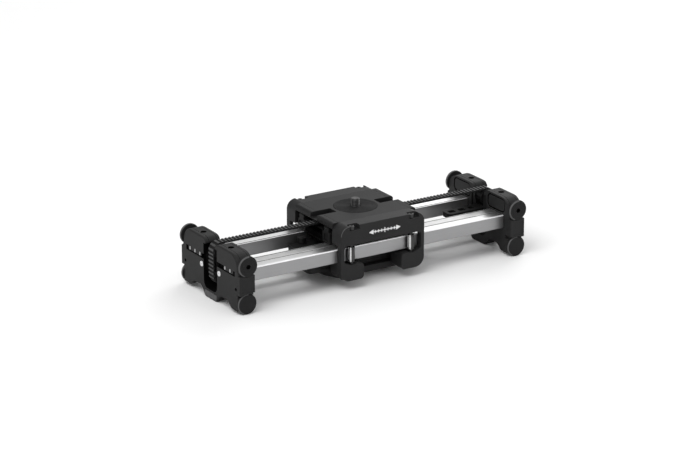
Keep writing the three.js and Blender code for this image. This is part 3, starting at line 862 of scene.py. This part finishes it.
def foot(side, end):
    y0, y1, r = FOOT_IN_Y, FOOT_Y, DISC_R
    centre = (DISC_X, FOOT_Z)
    profile = [(0, y0), (r - 0.5, y0, 0.3), (r, y0 + 0.5, 0.3), (r, y1 - 2.2, 0),
               (r, y1 - 1.2, 0.5), (r - 0.9, y1 - 0.35, 0.5), (r - 2.4, y1 - 0.1, 0.5),
               (4.5, y1, 1.5), (0, y1)]
    o = turned(rounded(profile), "y", centre, 96)
    boolean(o, [pin(2.85, 53.2, y0 + 0.5, "y", centre, 32)], "UNION")
    return seat(o, side, end)


def face_screw(side, end):
    screw_y, screw_z = FACE_SCREW
    centre = (screw_y if end == "rear" else -screw_y, screw_z)
    profile = [(0, -1.3), (3.0, -1.3, 0.2), (3.0, 0.05, 0.15), (2.55, 0.5, 0.25), (0, 0.5)]
    o = turned(rounded(profile), "x", centre, 48, start=END_X)
    boolean(o, [pocket(circle(*centre, 1.1, 6), "x", END_X - 0.1, END_X + 0.5, 0.1)])
    boolean(o, [pin(1.4, -8.4, -1.2, "x", centre, 24, start=END_X)], "UNION")
    return seat(o, side)


def end_pad(side):
    """A pad low in the end face, with fine upright grooves."""
    o = slab(pad_outline(0), "x", END_X - 0.9, END_X + 0.4, edge=0.2, low_edge=0)
    cuts = []
    y = -11.2
    while y < 11.4:
        groove = rect(y - 0.22, y + 0.22, -6.5, 2.5)
        cuts.append(pocket(groove, "x", END_X + 0.12, END_X + 0.4, mouth=0.1, seg=2))
        y += 0.95
    boolean(o, [join(cuts)])
    return seat(o, side)


def highlighted_lip(disc_z, outer_y, width):
    """A test for the outer lip of a disc, on the part that faces -X and up, where a painted
    highlight goes.
    """
    def test(x, y, z, n):
        dx, dz = abs(x) - DISC_X, z - disc_z
        r = math.hypot(dx, dz)
        dx = dx if x > 0 else -dx
        rise, limit = (0.25, 0.12) if y < 0 else (0.5, 0.0)
        if -dx / max(r, 0.1) + rise * dz / max(r, 0.1) < limit or abs(n.y) > 0.95:
            return False
        if y < 0:
            return y < 1.3 - outer_y and DISC_R - width < r < DISC_R - 0.05
        return r > DISC_R - 0.5 and abs(n.y) < 0.7
    return test


# the hex socket of a bumper, which is painted near black as shade
def bumper_socket(x, y, z, n):
    near = math.hypot(abs(x) - DISC_X, z - BUMPER_Z) < 2.95
    return BUMPER_Y - 2.7 < abs(y) < BUMPER_Y - 0.15 and near


for side in ("right", "left"):
    for end in ("front", "rear"):
        corner = f"{side}_{end}"
        o = install(bumper(side, end), "bumper_" + corner, "rail_frame", "rubber", angle=40)
        # the lips that face the key light carry a painted highlight
        paint(o, "rim", highlighted_lip(BUMPER_Z, BUMPER_Y, 1.3))
        paint(o, "cavity_shade", bumper_socket)
        o = install(foot(side, end), "foot_" + corner, "rail_frame", "rubber", angle=40)
        paint(o, "rim", highlighted_lip(FOOT_Z, FOOT_Y, 1.05))
        install(face_screw(side, end), "face_screw_" + corner, "rail_frame", "steel", angle=40)
    install(end_pad(side), "end_pad_" + side, "rail_frame", "pad", angle=30)


# ------------------------------------------------------------------ rails
GROOVE_Y = 34.2                            # middle of the groove along the top
# y, z, radius of the rear rail's section
RAIL_SECTION = [
    (RAIL_IN_Y, RAIL_LOW, 0.9), (RAIL_OUT_Y, RAIL_LOW, 0.9), (RAIL_OUT_Y, RAIL_TOP, 1.15),
    (GROOVE_Y + 1.1, RAIL_TOP, 0.2), (GROOVE_Y + 0.75, RAIL_TOP - 0.4, 0.15),
    (GROOVE_Y + 0.6, RAIL_TOP - 1.0, 0.1), (GROOVE_Y - 0.6, RAIL_TOP - 1.0, 0.1),
    (GROOVE_Y - 0.75, RAIL_TOP - 0.4, 0.15), (GROOVE_Y - 1.1, RAIL_TOP, 0.2),
    (RAIL_IN_Y + 2.5, RAIL_TOP, 0.15), (RAIL_IN_Y + 2.2, RAIL_TOP - 0.4, 0.1),
    (RAIL_IN_Y + 1.2, RAIL_TOP - 0.4, 0.1), (RAIL_IN_Y + 0.9, RAIL_TOP - 0.1, 0.1),
    (RAIL_IN_Y, RAIL_TOP - 0.1, 0.6)]


def rail_shape():
    """The section drawn out along X, with two hollow chambers."""
    o = prism(fillet(RAIL_SECTION, 15), "x", -RAIL_X, RAIL_X)
    chambers = ((RAIL_IN_Y + 2, GROOVE_Y - 2.2), (GROOVE_Y + 2.2, RAIL_OUT_Y - 2))
    return boolean(o, [prism(rect(y0, y1, RAIL_LOW + 2, RAIL_TOP - 2, 0.8),
                             "x", -RAIL_X - 2, RAIL_X + 2) for y0, y1 in chambers])


# the rounded top edges of a rail, which get a painted highlight
def highlighted_rail_rounding(x, y, z, n):
    at_side = abs(y) > RAIL_OUT_Y - 1.15 or abs(y) < RAIL_IN_Y + 0.7
    return abs(n.x) < 0.5 and z > RAIL_TOP - 1.2 and 0.05 < n.z < 0.985 and at_side


# the top grooves of a rail, which are painted dark as shade
def rail_grooves(x, y, z, n):
    in_groove = abs(abs(y) - GROOVE_Y) < 0.9 or RAIL_IN_Y + 1.0 < abs(y) < RAIL_IN_Y + 2.4
    return abs(n.x) < 0.5 and in_groove and RAIL_TOP - 1.3 < z < RAIL_TOP - 0.15


for o, end in zip(pair(rail_shape(), "y"), ("rear", "front")):
    install(o, "rail_" + end, "rail_frame", "rail", angle=30)
    paint(o, "rail_edge_highlight", highlighted_rail_rounding)
    paint(o, "rail_groove_shade", rail_grooves)

# ------------------------------------------------------------------ pulleys, axles, yokes
DRUM_R = 7.5
# radius, y
PULLEY_PROFILE = [
    (2.2, -6.2), (8.3, -6.2), (8.6, -6.08), (FLANGE_R, -5.85), (FLANGE_R, -5.65),
    (8.55, -5.45), (DRUM_R, -5.2), (DRUM_R, 5.2), (8.55, 5.45), (FLANGE_R, 5.65),
    (FLANGE_R, 5.85), (8.6, 6.08), (8.3, 6.2), (4.4, 6.2), (4.2, 5.6), (2.9, 5.6),
    (2.7, 6.2), (2.2, 6.2)]
# radius, half width of a tooth gap's corners
TOOTH_GAP = ((6.55, -0.75), (7.7, -0.95), (7.7, 0.95), (6.55, 0.75))
# x, z[, radius] of a yoke cheek
YOKE_CHEEK = [
    (158.0, 11.2, 0), (163.4, 11.2), (168.0, 13.4), (170.2, 17.2), (172.2, 21.8), (172.2, 40.6),
    (170.4, 45.0), (168.0, 48.6), (164.4, 50.2), (158.0, 50.2, 0)]
CHEEK_Y = (6.6, 13.0)


def pulley(side, z):
    o = turned(PULLEY_PROFILE, "y", (PULLEY_X, z), 90)
    gaps = []
    for i in range(10):
        t = 2 * math.pi * i / 10
        c, s = math.cos(t), math.sin(t)
        points = [(PULLEY_X + r * c - w * s, z + r * s + w * c) for r, w in TOOTH_GAP]
        gaps.append(prism(points, "y", -5.15, 5.15))
    boolean(o, [join(gaps)])
    return seat(o, side)


def yoke(side):
    cheek = soft(YOKE_CHEEK)
    near, far = CHEEK_Y
    o = slab(cheek, "y", near, far)
    front = slab(cheek, "y", -far, -near)
    bridge = prism(rect(158.05, 161.6, 29.0, 35.6, 0.6), "y", -7.4, 7.4)
    boolean(o, [front, bridge], "UNION")
    axles_z = (PULLEY_UP_Z, PULLEY_LOW_Z)
    boolean(o, [prism(circle(PULLEY_X, z, 1.95, 40), "y", -15, 15) for z in axles_z])
    cuts = []
    for s in (-1, 1):
        for z in axles_z:
            cuts.append(pocket(circle(PULLEY_X, z, 3.2, 40), "y", s * 12.4, s * far, 0.2))
        slot = rect(166.2, 169.6, 23.6, 38.4, 1.2)
        cuts.append(pocket(slot, "y", s * 11.2, s * far, 0.25))
    boolean(o, cuts)
    return seat(o, side)


for side in ("right", "left"):
    o = install(yoke(side), "pulley_yoke_" + side, "rail_frame", "shell_dark", angle=34)
    # the outer cheeks of the yoke are painted near black as shade
    paint(o, "cavity_shade", lambda x, y, z, n: abs(x) > 164 and abs(y) > 8.6)
    for level, z in (("upper", PULLEY_UP_Z), ("lower", PULLEY_LOW_Z)):
        name = f"pulley_{side}_{level}"
        install(pulley(side, z), name, name, "shell_dark", angle=34)
        axle = seat(pin(1.9, -12.6, 12.6, "y", (PULLEY_X, z), 40), side)
        install(axle, f"pulley_axle_{side}_{level}", "rail_frame", "steel", angle=40)

# ------------------------------------------------------------------ belt
BELT_THICK = 2.1                           # from the inner face to the tips of the teeth
BELT_HALF_WIDTH = 5.0
TOOTH_PITCH = 4.21                         # wanted pitch; the true one divides the loop evenly
# place along the pitch (0 to 1), height over the inner face
TOOTH = [(0.0, 1.12), (0.14, 1.14), (0.21, 1.24), (0.28, 1.90), (0.33, 2.05), (0.40, 2.1),
         (0.68, 2.1), (0.75, 2.05), (0.80, 1.90), (0.87, 1.24), (0.94, 1.14)]


def belt():
    """A closed loop over the four pulleys with its teeth on the outside."""
    inner_r = BELT_R - BELT_THICK
    x, up, down = PULLEY_X, PULLEY_UP_Z, PULLEY_LOW_Z
    # each straight run: pulley centres at its start and end, outward normal, and the
    # angle at which the quarter turn after it begins
    path = [((-x, up), (x, up), (0, 1), 90), ((x, up), (x, down), (1, 0), 0),
            ((x, down), (-x, down), (0, -1), 270), ((-x, down), (-x, up), (-1, 0), 180)]
    arc = inner_r * math.pi / 2
    total = sum(math.dist(run[0], run[1]) + arc for run in path)
    count = int(round(total / TOOTH_PITCH))
    pitch = total / count

    def at(s):
        """Point on the inner face at distance s, and the outward normal there."""
        s %= total
        for start, end, (nx, nz), angle in path:
            length = math.dist(start, end)
            if s <= length + 1e-9:
                k = s / length
                return (start[0] + (end[0] - start[0]) * k + nx * inner_r,
                        start[1] + (end[1] - start[1]) * k + nz * inner_r, nx, nz)
            s -= length
            if s <= arc + 1e-9:
                a = math.radians(angle - 90 * (s / arc))
                nx, nz = math.cos(a), math.sin(a)
                return end[0] + inner_r * nx, end[1] + inner_r * nz, nx, nz
            s -= arc

    bm = bmesh.new()
    rings = []
    w = BELT_HALF_WIDTH
    for i in range(count):
        for part, h in TOOTH:
            x, z, nx, nz = at((i + part) * pitch)
            section = [(h - 0.16, -w), (h, -w + 0.18), (h, w - 0.18), (h - 0.16, w),
                       (0.12, w), (0.0, w - 0.14), (0.0, -w + 0.14), (0.12, -w)]
            rings.append([bm.verts.new(place("y", x + nx * a, z + nz * a, y))
                          for a, y in section])
    for ring, after in zip(rings, rings[1:] + rings[:1]):
        band(bm, ring, after)
    return solid(bm)


def tooth_tip(x, y, z, n):
    dx = max(abs(x) - PULLEY_X, 0.0)
    dz = max(z - PULLEY_UP_Z, PULLEY_LOW_Z - z, 0.0)
    return abs(y) < 4.9 and math.hypot(dx, dz) > BELT_R - 0.12


o = install(belt(), "belt", "rail_frame", "belt", angle=28)
paint(o, "crown", tooth_tip)


# ------------------------------------------------------------------ tongue between the rails
def tongue():
    plan = fillet([(TONGUE_OUT_X, -TONGUE_Y, 0), (TONGUE_OUT_X, TONGUE_Y, 0),
                   (TONGUE_IN_X, TONGUE_Y, 5), (TONGUE_IN_X, -TONGUE_Y, 5)], 6)
    o = slab(plan, "z", TONGUE_LOW, TONGUE_TOP, edge=0.45)
    return boolean(o, [pocket(rect(x0, x1, -3.2, 3.2, 1.2), "z", TONGUE_TOP - 2.6, TONGUE_TOP)
                       for x0, x1 in ((118, 126), (131, 139), (144, 150))])


install(tongue(), "tongue_right", "rail_frame", "shell_dark", angle=34)

# ------------------------------------------------------------------ carriage side plates
# x, z[, radius] of the lower left edge shared by the plate and its inward hook
HOOK_EDGE = [(-PLATE_X, PLATE_LOW, 11), (-23, PLATE_LOW, 4.5), (-23, 17.6), (-23.5, 19.6),
             (-25, 21.06), (-31.6, 22.4), (-34.0, 21.2), (-39.2, 21.2)]
PLATE_EDGE = HOOK_EDGE + [(-42.4, 22.8), (-44.6, 23.2), (-46.4, 24.6), (-47, 26.4),
                          (-47, 42.5, 4.2)]
HEAD_TOP = [(PLATE_X, CARRIAGE_TOP, 10), (-PLATE_X, CARRIAGE_TOP, 10)]


def side_plate():
    """The rear plate: an arch with a hook low at each end and a head that reaches inwards."""
    outline = soft(PLATE_EDGE + mirrored(PLATE_EDGE) + HEAD_TOP)
    o = slab(outline, "y", PLATE_IN_Y, PLATE_Y, edge=0.85, seg=4, low_edge=0.4)
    overlap_y = PLATE_IN_Y + 1.0
    head = fillet([(PLATE_X, 42.5, 0)] + HEAD_TOP + [(-PLATE_X, 42.5, 0)], 7)
    hook_outline = soft(HOOK_EDGE + [(-42.4, 22.4), (-PLATE_X, 22.4, 0)])
    hook = slab(hook_outline, "y", HOOK_IN_Y, overlap_y, edge=0.0, low_edge=0.6)
    right_hook = flip(copy(hook), "x")
    boolean(o, [slab(head, "y", 36.8, overlap_y, edge=0.0, low_edge=0.06), hook, right_hook],
            "UNION")
    cuts = []
    for s in (-1, 1):
        cuts.append(prism(circle(s * ROLLER_X, ROLLER_Y, 1.75, 28), "z", 13.0, 70))
        x0 = s * ROLLER_X - 4.2
        notch = rect(x0, x0 + 12.2, 47.4, PLATE_Y + 2, 1.3)
        cuts.append(pocket(notch, "z", 58.4, CARRIAGE_TOP))
        # a scoop leaves a raised lip on the inner edge of the hook
        scoop = rect(*span(s, 27.0, 45.0), HOOK_IN_Y + 1.6, PLATE_IN_Y - 0.6, 1.0)
        cuts.append(prism(scoop, "z", 20.2, 26))
    boolean(o, cuts)
    # fine line along the top edge
    line = rect(-41, 41, PLATE_Y - 1.55, PLATE_Y - 1.25)
    return boolean(o, [prism(line, "z", CARRIAGE_TOP - 0.25, CARRIAGE_TOP + 1)])


rear, front = pair(side_plate(), "y")
install(rear, "carriage_side_rear", "carriage", "anodised", angle=34)
install(front, "carriage_side_front", "carriage", "anodised", angle=34)
# a painted highlight on the bevel round the front plate's upper left corner
paint(front, "rim", lambda x, y, z, n: (
    y < 0.9 - PLATE_Y and x < -37 and z > 45 and 0.2 < -n.y < 0.9))

# ------------------------------------------------------------------ deck, camera pad, screw
PAD_RECESS_Z = CARRIAGE_TOP - 1.4


def deck():
    section = fillet([(-PLATE_X + 1.2, 56.5, 0.3), (PLATE_X - 1.2, 56.5, 0.3),
                      (PLATE_X, 57.7, 0.5), (PLATE_X, CARRIAGE_TOP, 6.0),
                      (-PLATE_X, CARRIAGE_TOP, 6.0), (-PLATE_X, 57.7, 0.5)], 6)
    o = slab(section, "y", -36.7, 36.7, edge=0.06)
    cuts = []
    for s in (-1, 1):
        notch = rect(*span(s, 27.0, PLATE_X + 3), -6.3, 6.3, 1.0)
        cuts.append(pocket(notch, "z", 58.2, CARRIAGE_TOP, 0.4))
        # creases along the shoulder: x, bottom z, width
        for x, z, width in ((44.0, CARRIAGE_TOP - 0.45, 0.35), (48.6, 61.2, 0.3)):
            crease = rect(s * x - width / 2, s * x + width / 2, z, z + 3)
            cuts.append(prism(crease, "y", -40, 40))
    cuts.append(pocket(circle(0, 0, 5.0, 40), "z", 50, PAD_RECESS_Z, 0.3))
    cuts.append(pocket(circle(0, 0, 23.4, 96), "z", PAD_RECESS_Z, CARRIAGE_TOP, 0.3))
    return boolean(o, cuts)


def camera_pad():
    """A flat ring with concentric grooves, one every 1.6 mm."""
    r0, r1, z0, z1 = 5.6, 23.0, CARRIAGE_TOP - 1.1, CARRIAGE_TOP + 0.3
    profile = [(r0, z0), (r1 - 0.15, z0), (r1, z0 + 0.15), (r1, z1 - 0.45),
               (r1 - 0.15, z1 - 0.12), (r1 - 0.5, z1)]
    r = r1 - 1.2
    while r > r0 + 1.6:
        profile += [(r, z1), (r - 0.12, z1 - 0.06), (r - 0.25, z1 - 0.35),
                    (r - 0.55, z1 - 0.35), (r - 0.68, z1 - 0.06), (r - 0.8, z1)]
        r -= 1.6
    profile += [(r0 + 0.4, z1), (r0 + 0.12, z1 - 0.1), (r0, z1 - 0.4)]
    return turned(profile, "z", (0, 0), 120)


# the deck takes the darker copy of the anodised grey, painted shade against the sheen on its top
install(deck(), "carriage_deck", "carriage", "deck", angle=33)
install(camera_pad(), "camera_pad", "carriage", "rubber", angle=40)
install(thread(root=3.95, crest=4.6, low=55.6, high=72.0, seg=64),
        "camera_screw", "carriage", "black_steel", angle=60)

# ------------------------------------------------------------------ upper clamp and guides
CLAMP_X, CLAMP_Y = 49.0, 14
GUIDE_X = 50.9


def clamp_upper():
    section = fillet([(-CLAMP_Y, 35.5, 0.9), (CLAMP_Y, 35.5, 0.9),
                      (CLAMP_Y, 50.4, 0.6), (-CLAMP_Y, 50.4, 0.6)], 15)
    o = slab(section, "x", -CLAMP_X, CLAMP_X)
    adds = [prism(rect(-26, 26, *span(s, 6.2, 13.6), 1.0), "z", 50.0, 56.2) for s in (-1, 1)]
    adds.append(slab(rect(-18, 18, -6.0, 6.0, 0.8), "z", 50.0, 52.7, edge=0.35))
    boolean(o, adds, "UNION")
    cuts = [pocket(rect(x - 4.5, x + 4.5, -4.2, 4.2, 1.0), "z", 48.9, 50.4, 0.3)
            for x in (-41, -29, 29, 41)]
    for s in (-1, 1):
        end_x = s * CLAMP_X
        cuts += [pocket(rect(-44, 44, 39.2, 46.6, 1.4), "y", s * 13.2, s * CLAMP_Y, 0.25),
                 pocket(rect(-12.6, 12.6, 43.4, 49.4, 0.8), "x", s * 42.0, end_x, 0.3),
                 pocket(rect(-11.6, 11.6, 37.6, 41.6, 0.8), "x", s * 48.2, end_x, 0.3)]
    return boolean(o, cuts)


def guide():
    """The rear guide: a bar along X with a raised rib, open beneath its middle."""
    section = [(17.2, 38.6, 0.5), (31, 38.6, 0.7), (31, 50.6, 0.8), (28.6, 50.6, 0),
               (28.6, 56.2, 0.3), (20.2, 56.2, 0.3), (20.2, 50.6, 0), (17.2, 50.6, 0.7)]
    o = slab(fillet(section, 15), "x", -GUIDE_X, GUIDE_X, edge=0.45)
    cuts = [prism(rect(-32, 32, 35, 45.5, 1.2), "y", 15, 33)]
    for s in (-1, 1):
        recess = rect(19.2, 29.0, 40.4, 48.8, 1.2)
        hole = circle(s * 40.5, 44.6, 2.2, 32)
        cuts += [pocket(recess, "x", s * 49.6, s * GUIDE_X, 0.25),
                 pocket(hole, "y", 19.0, 17.2, 0.25), pocket(hole, "y", 29.2, 31.0, 0.25)]
    return boolean(o, cuts)


o = install(clamp_upper(), "belt_clamp_upper", "carriage", "shell_dark", angle=34)
# the clamp's end pockets are painted near black as shade
paint(o, "cavity_shade", lambda x, y, z, n: (
    abs(x) > 41.5 and (abs(n.x) > 0.5 or (abs(y) < 12.8 and 43.2 < z < 49.6))))
for o, end in zip(pair(guide(), "y"), ("rear", "front")):
    install(o, "carriage_guide_" + end, "carriage", "shell_dark", angle=34)

# ------------------------------------------------------------------ carriage rollers
CORNERS = (("left_front", -1, -1), ("left_rear", -1, 1), ("right_front", 1, -1),
           ("right_rear", 1, 1))


def carriage_roller(centre):
    r, z0, z1 = ROLLER_R, ROLLER_LOW, ROLLER_TOP
    profile = [
        (1.9, z0), (r - 0.35, z0), (r - 0.1, z0 + 0.1), (r, z0 + 0.35), (r, z0 + 1.3),
        (r - 0.25, z0 + 1.45), (r - 0.25, z0 + 1.85), (r, z0 + 2.0), (r, z1 - 2.0),
        (r - 0.25, z1 - 1.85), (r - 0.25, z1 - 1.45), (r, z1 - 1.3), (r, z1 - 0.35),
        (r - 0.1, z1 - 0.1), (r - 0.35, z1), (3.0, z1), (2.9, z1 - 0.3), (2.3, z1 - 0.3),
        (2.2, z1), (1.9, z1)]
    return turned(profile, "z", centre, 72)


def roller_screw(centre):
    profile = [(0, 58.8), (2.9, 58.8, 0.15), (2.9, 62.6, 0.35), (0, 62.6)]
    o = turned(rounded(profile), "z", centre, 96)
    boolean(o, [pocket(circle(*centre, 1.6, 6), "z", 60.6, 62.6, 0.15)])
    return boolean(o, [pin(1.6, 13.6, 59.0, "z", centre, 28)], "UNION")


for corner, sx, sy in CORNERS:
    name = "carriage_roller_" + corner
    centre = (sx * ROLLER_X, sy * ROLLER_Y)
    # the roller body carries a painted reflection strip
    o = install(carriage_roller(centre), name, name, "chrome_with_painted_reflection", angle=40)
    # the flat ends of the roller are painted near black as shade
    paint(o, "cavity_shade", lambda x, y, z, n: abs(n.z) > 0.5)
    install(roller_screw(centre), "roller_screw_" + corner, "carriage", "black_steel", angle=40)


# ------------------------------------------------------------------ travel marks
def travel_mark():
    """A printed line on the front plate with seven ticks and an arrow at each end."""
    z, x0, x1 = 52.6, -17.5, 21.5
    line = rect(x0 + 4.5, x1 - 4.5, z - 0.55, z + 0.55, 0.2)
    parts = []
    for tip, s in ((x0, 1), (x1, -1)):
        parts.append(fillet([(tip, z, 0.3), (tip + s * 5.6, z + 2.7, 0.3),
                             (tip + s * 5.6, z - 2.7, 0.3)]))
    for k in range(-3, 4):
        half = 2.7 if k == 0 else 1.7
        x = (x0 + x1) / 2 + k * 3.9
        parts.append(rect(x - 0.5, x + 0.5, z - half, z + half, 0.2))
    depth = (-PLATE_Y - 0.02, -PLATE_Y + 0.3)
    return boolean(prism(line, "y", *depth), [prism(p, "y", *depth) for p in parts], "UNION")


mark = install(travel_mark(), "travel_mark_front", "carriage", "print", printed=True)
install(flip(copy(mark), "y"), "travel_mark_rear", "carriage", "print", printed=True)

# ------------------------------------------------------------------ base
BUSH_R = 8.0
BODY_SHOULDER_Z = 22.6
CHANNEL_Y = 6.4                            # half width of the channel under the body


def base_plate():
    """A disc with straight front and rear sides, drilled and ringed underneath."""
    a = math.asin(BASE_Y / BASE_R)
    outline = []
    for a0, a1 in ((-a, a), (math.pi - a, math.pi + a)):
        angles = [a0 + (a1 - a0) * i / 48 for i in range(49)]
        outline += [(BASE_R * math.cos(t), BASE_R * math.sin(t)) for t in angles]
    o = slab(outline, "z", 0, BASE_TOP, edge=0.7, seg=4, low_edge=0.6)
    bore = circle(0, 0, BUSH_R + 0.3, 72)
    cuts = [pocket(bore, "z", 3.5, 0), pocket(bore, "z", 3.4, BASE_TOP, 0.3)]
    for i in range(4):
        t = math.pi / 4 + i * math.pi / 2
        hole = circle(24 * math.cos(t), 24 * math.sin(t), 3.0, 36)
        cuts.append(pocket(hole, "z", 3.2, 0, 0.3))
    boolean(o, cuts)
    return boolean(o, [turned([(r - 0.35, -1), (r + 0.35, -1), (r + 0.35, 0.3), (r - 0.35, 0.3)],
                              "z", (0, 0), 120) for r in (29.6, 27.2, 17.4, 15.0)])


def base_body():
    shoulder = BODY_SHOULDER_Z
    section = [(-BODY_Y, 7.3, 0.5), (BODY_Y, 7.3, 0.5), (BODY_Y, shoulder, 1.1),
               (19.6, shoulder, 0.3), (19.6, BODY_TOP, 0.9), (-19.6, BODY_TOP, 0.9),
               (-19.6, shoulder, 0.3), (-BODY_Y, shoulder, 1.1)]
    o = prism(fillet(section, 12), "x", -BODY_X, BODY_X)
    boolean(o, [prism(rect(-BODY_X, BODY_X, -BODY_Y, BODY_Y, 7), "z", 5, 40)], "INTERSECT")
    boolean(o, [
        prism(rect(-BODY_X - 1, BODY_X + 1, -CHANNEL_Y, CHANNEL_Y), "z", 6.0, 14.4),
        prism(rect(-12.4, 12.4, -CHANNEL_Y, CHANNEL_Y, 0.5), "z", 6.0, 17.0)])
    cuts = [pocket(circle(sx * BASE_ROLLER_X, sy * BASE_ROLLER_Y, 1.65, 28),
                   "z", 18.0, BODY_TOP, 0.25) for _, sx, sy in CORNERS]
    cuts.append(pocket(rect(-40, 40, -13, 13, 4), "z", 25.6, BODY_TOP, 0.5))
    for s in (-1, 1):
        panel = rect(-58, 58, 10.4, 19.4, 2.2)
        cuts.append(pocket(panel, "y", s * (BODY_Y - 1.0), s * BODY_Y, 0.4))
        for sy in (-1, 1):
            hole = circle(sy * 13.5, 18.6, 2.0, 32)
            cuts.append(pocket(hole, "x", s * (BODY_X - 3), s * BODY_X, 0.3))
    return boolean(o, cuts)


def clamp_lower():
    """A small block with cross grooves underneath."""
    o = slab(rect(-12.0, 12.0, -6.0, 6.0, 0.8), "z", 12.4, 16.7, edge=0.35)
    return boolean(o, [prism(rect(x - 0.6, x + 0.6, -7, 7), "z", 11, 12.9)
                       for x in (-10, -5, 0, 5, 10)])


def base_roller(centre):
    r, z0, z1 = BASE_ROLLER_R, BASE_ROLLER_LOW, BASE_ROLLER_TOP
    profile = [
        (1.9, z0), (2.9, z0), (3.0, z0 + 0.25), (3.6, z0 + 0.25), (3.7, z0), (r - 0.3, z0),
        (r - 0.08, z0 + 0.08), (r, z0 + 0.3), (r, z1 - 0.3), (r - 0.08, z1 - 0.08),
        (r - 0.3, z1), (3.7, z1), (3.6, z1 - 0.25), (3.0, z1 - 0.25), (2.9, z1), (1.9, z1)]
    return turned(profile, "z", centre, 72)


def base_roller_screw(centre):
    profile = [(0, 34.7), (2.8, 34.7, 0.1), (2.8, 35.1, 0.15), (0, 35.1)]
    o = turned(rounded(profile), "z", centre, 64)
    boolean(o, [pin(1.45, 18.4, 34.9, "z", centre, 28)], "UNION")
    return boolean(o, [pocket(circle(*centre, 1.2, 6), "z", 34.85, 35.1, 0.05)])


install(base_plate(), "base_plate", "base", "anodised", angle=34)
install(thread(root=4.2, crest=4.75, low=0.0, high=6.9, seg=72, outer=BUSH_R),
        "thread_bush", "base", "steel", angle=50)
install(base_body(), "base_body", "base", "anodised", angle=34)
install(clamp_lower(), "belt_clamp_lower", "base", "shell_dark", angle=34)
for corner, sx, sy in CORNERS:
    name = "base_roller_" + corner
    centre = (sx * BASE_ROLLER_X, sy * BASE_ROLLER_Y)
    install(base_roller(centre), name, name, "black_steel", angle=40)
    install(base_roller_screw(centre), "base_roller_screw_" + corner, "base", "black_steel",
            angle=40)


# ------------------------------------------------------------------ floor, lights, camera (metres)
def floor():
    bm = bmesh.new()
    bmesh.ops.create_grid(bm, x_segments=2, y_segments=2, size=30.0)
    o = mesh_object(bm)
    o.name = "floor"
    o.data.name = "floor"
    m = bpy.data.materials.new("finish_floor")
    m.use_nodes = True
    inputs = m.node_tree.nodes["Principled BSDF"].inputs
    inputs["Base Color"].default_value = (0.90, 0.90, 0.90, 1)
    inputs["Roughness"].default_value = 0.9
    inputs["Specular IOR Level"].default_value = 0.1
    o.data.materials.append(m)


def add_aimed(name, data, location, direction):
    """An object that looks along direction."""
    o = bpy.data.objects.new(name, data)
    scene.collection.objects.link(o)
    o.location = location
    o.rotation_mode = "QUATERNION"
    o.rotation_quaternion = direction.to_track_quat("-Z", "Y")
    return o


def area_light(name, location, size, power):
    data = bpy.data.lights.new(name, "AREA")
    data.shape = "RECTANGLE"
    data.size = data.size_y = size
    data.energy = power
    direction = Vector((0, 0, 0.03)) - Vector(location)
    add_aimed(name, data, location, direction)


def camera():
    target = Vector((-0.0217, 0.00007, 0.0521))
    distance = 3.1683
    azimuth, elevation = math.radians(31.952), math.radians(19.184)   # from -Y towards -X, up
    data = bpy.data.cameras.new("camera")
    data.lens = 161.7
    data.sensor_width = 36.0
    data.clip_start, data.clip_end = 0.1, 60
    back = Vector((-math.sin(azimuth) * math.cos(elevation),
                   -math.cos(azimuth) * math.cos(elevation), math.sin(elevation)))
    scene.camera = add_aimed("camera", data, target + back * distance, -back)


floor()
world = bpy.data.worlds.new("studio")
scene.world = world
world.use_nodes = True
background = world.node_tree.nodes["Background"]
background.inputs["Color"].default_value = (1, 1, 1, 1)
background.inputs["Strength"].default_value = 0.62
area_light("key", location=(-1.4, -0.6, 2.4), size=1.8, power=42)
area_light("rear", location=(2.43, 1.65, 1.6), size=2.2, power=40)
area_light("front", location=(0.9, -2.6, 1.1), size=1.6, power=10)
camera()
scene.view_settings.view_transform = "Standard"
scene.view_settings.look = "None"
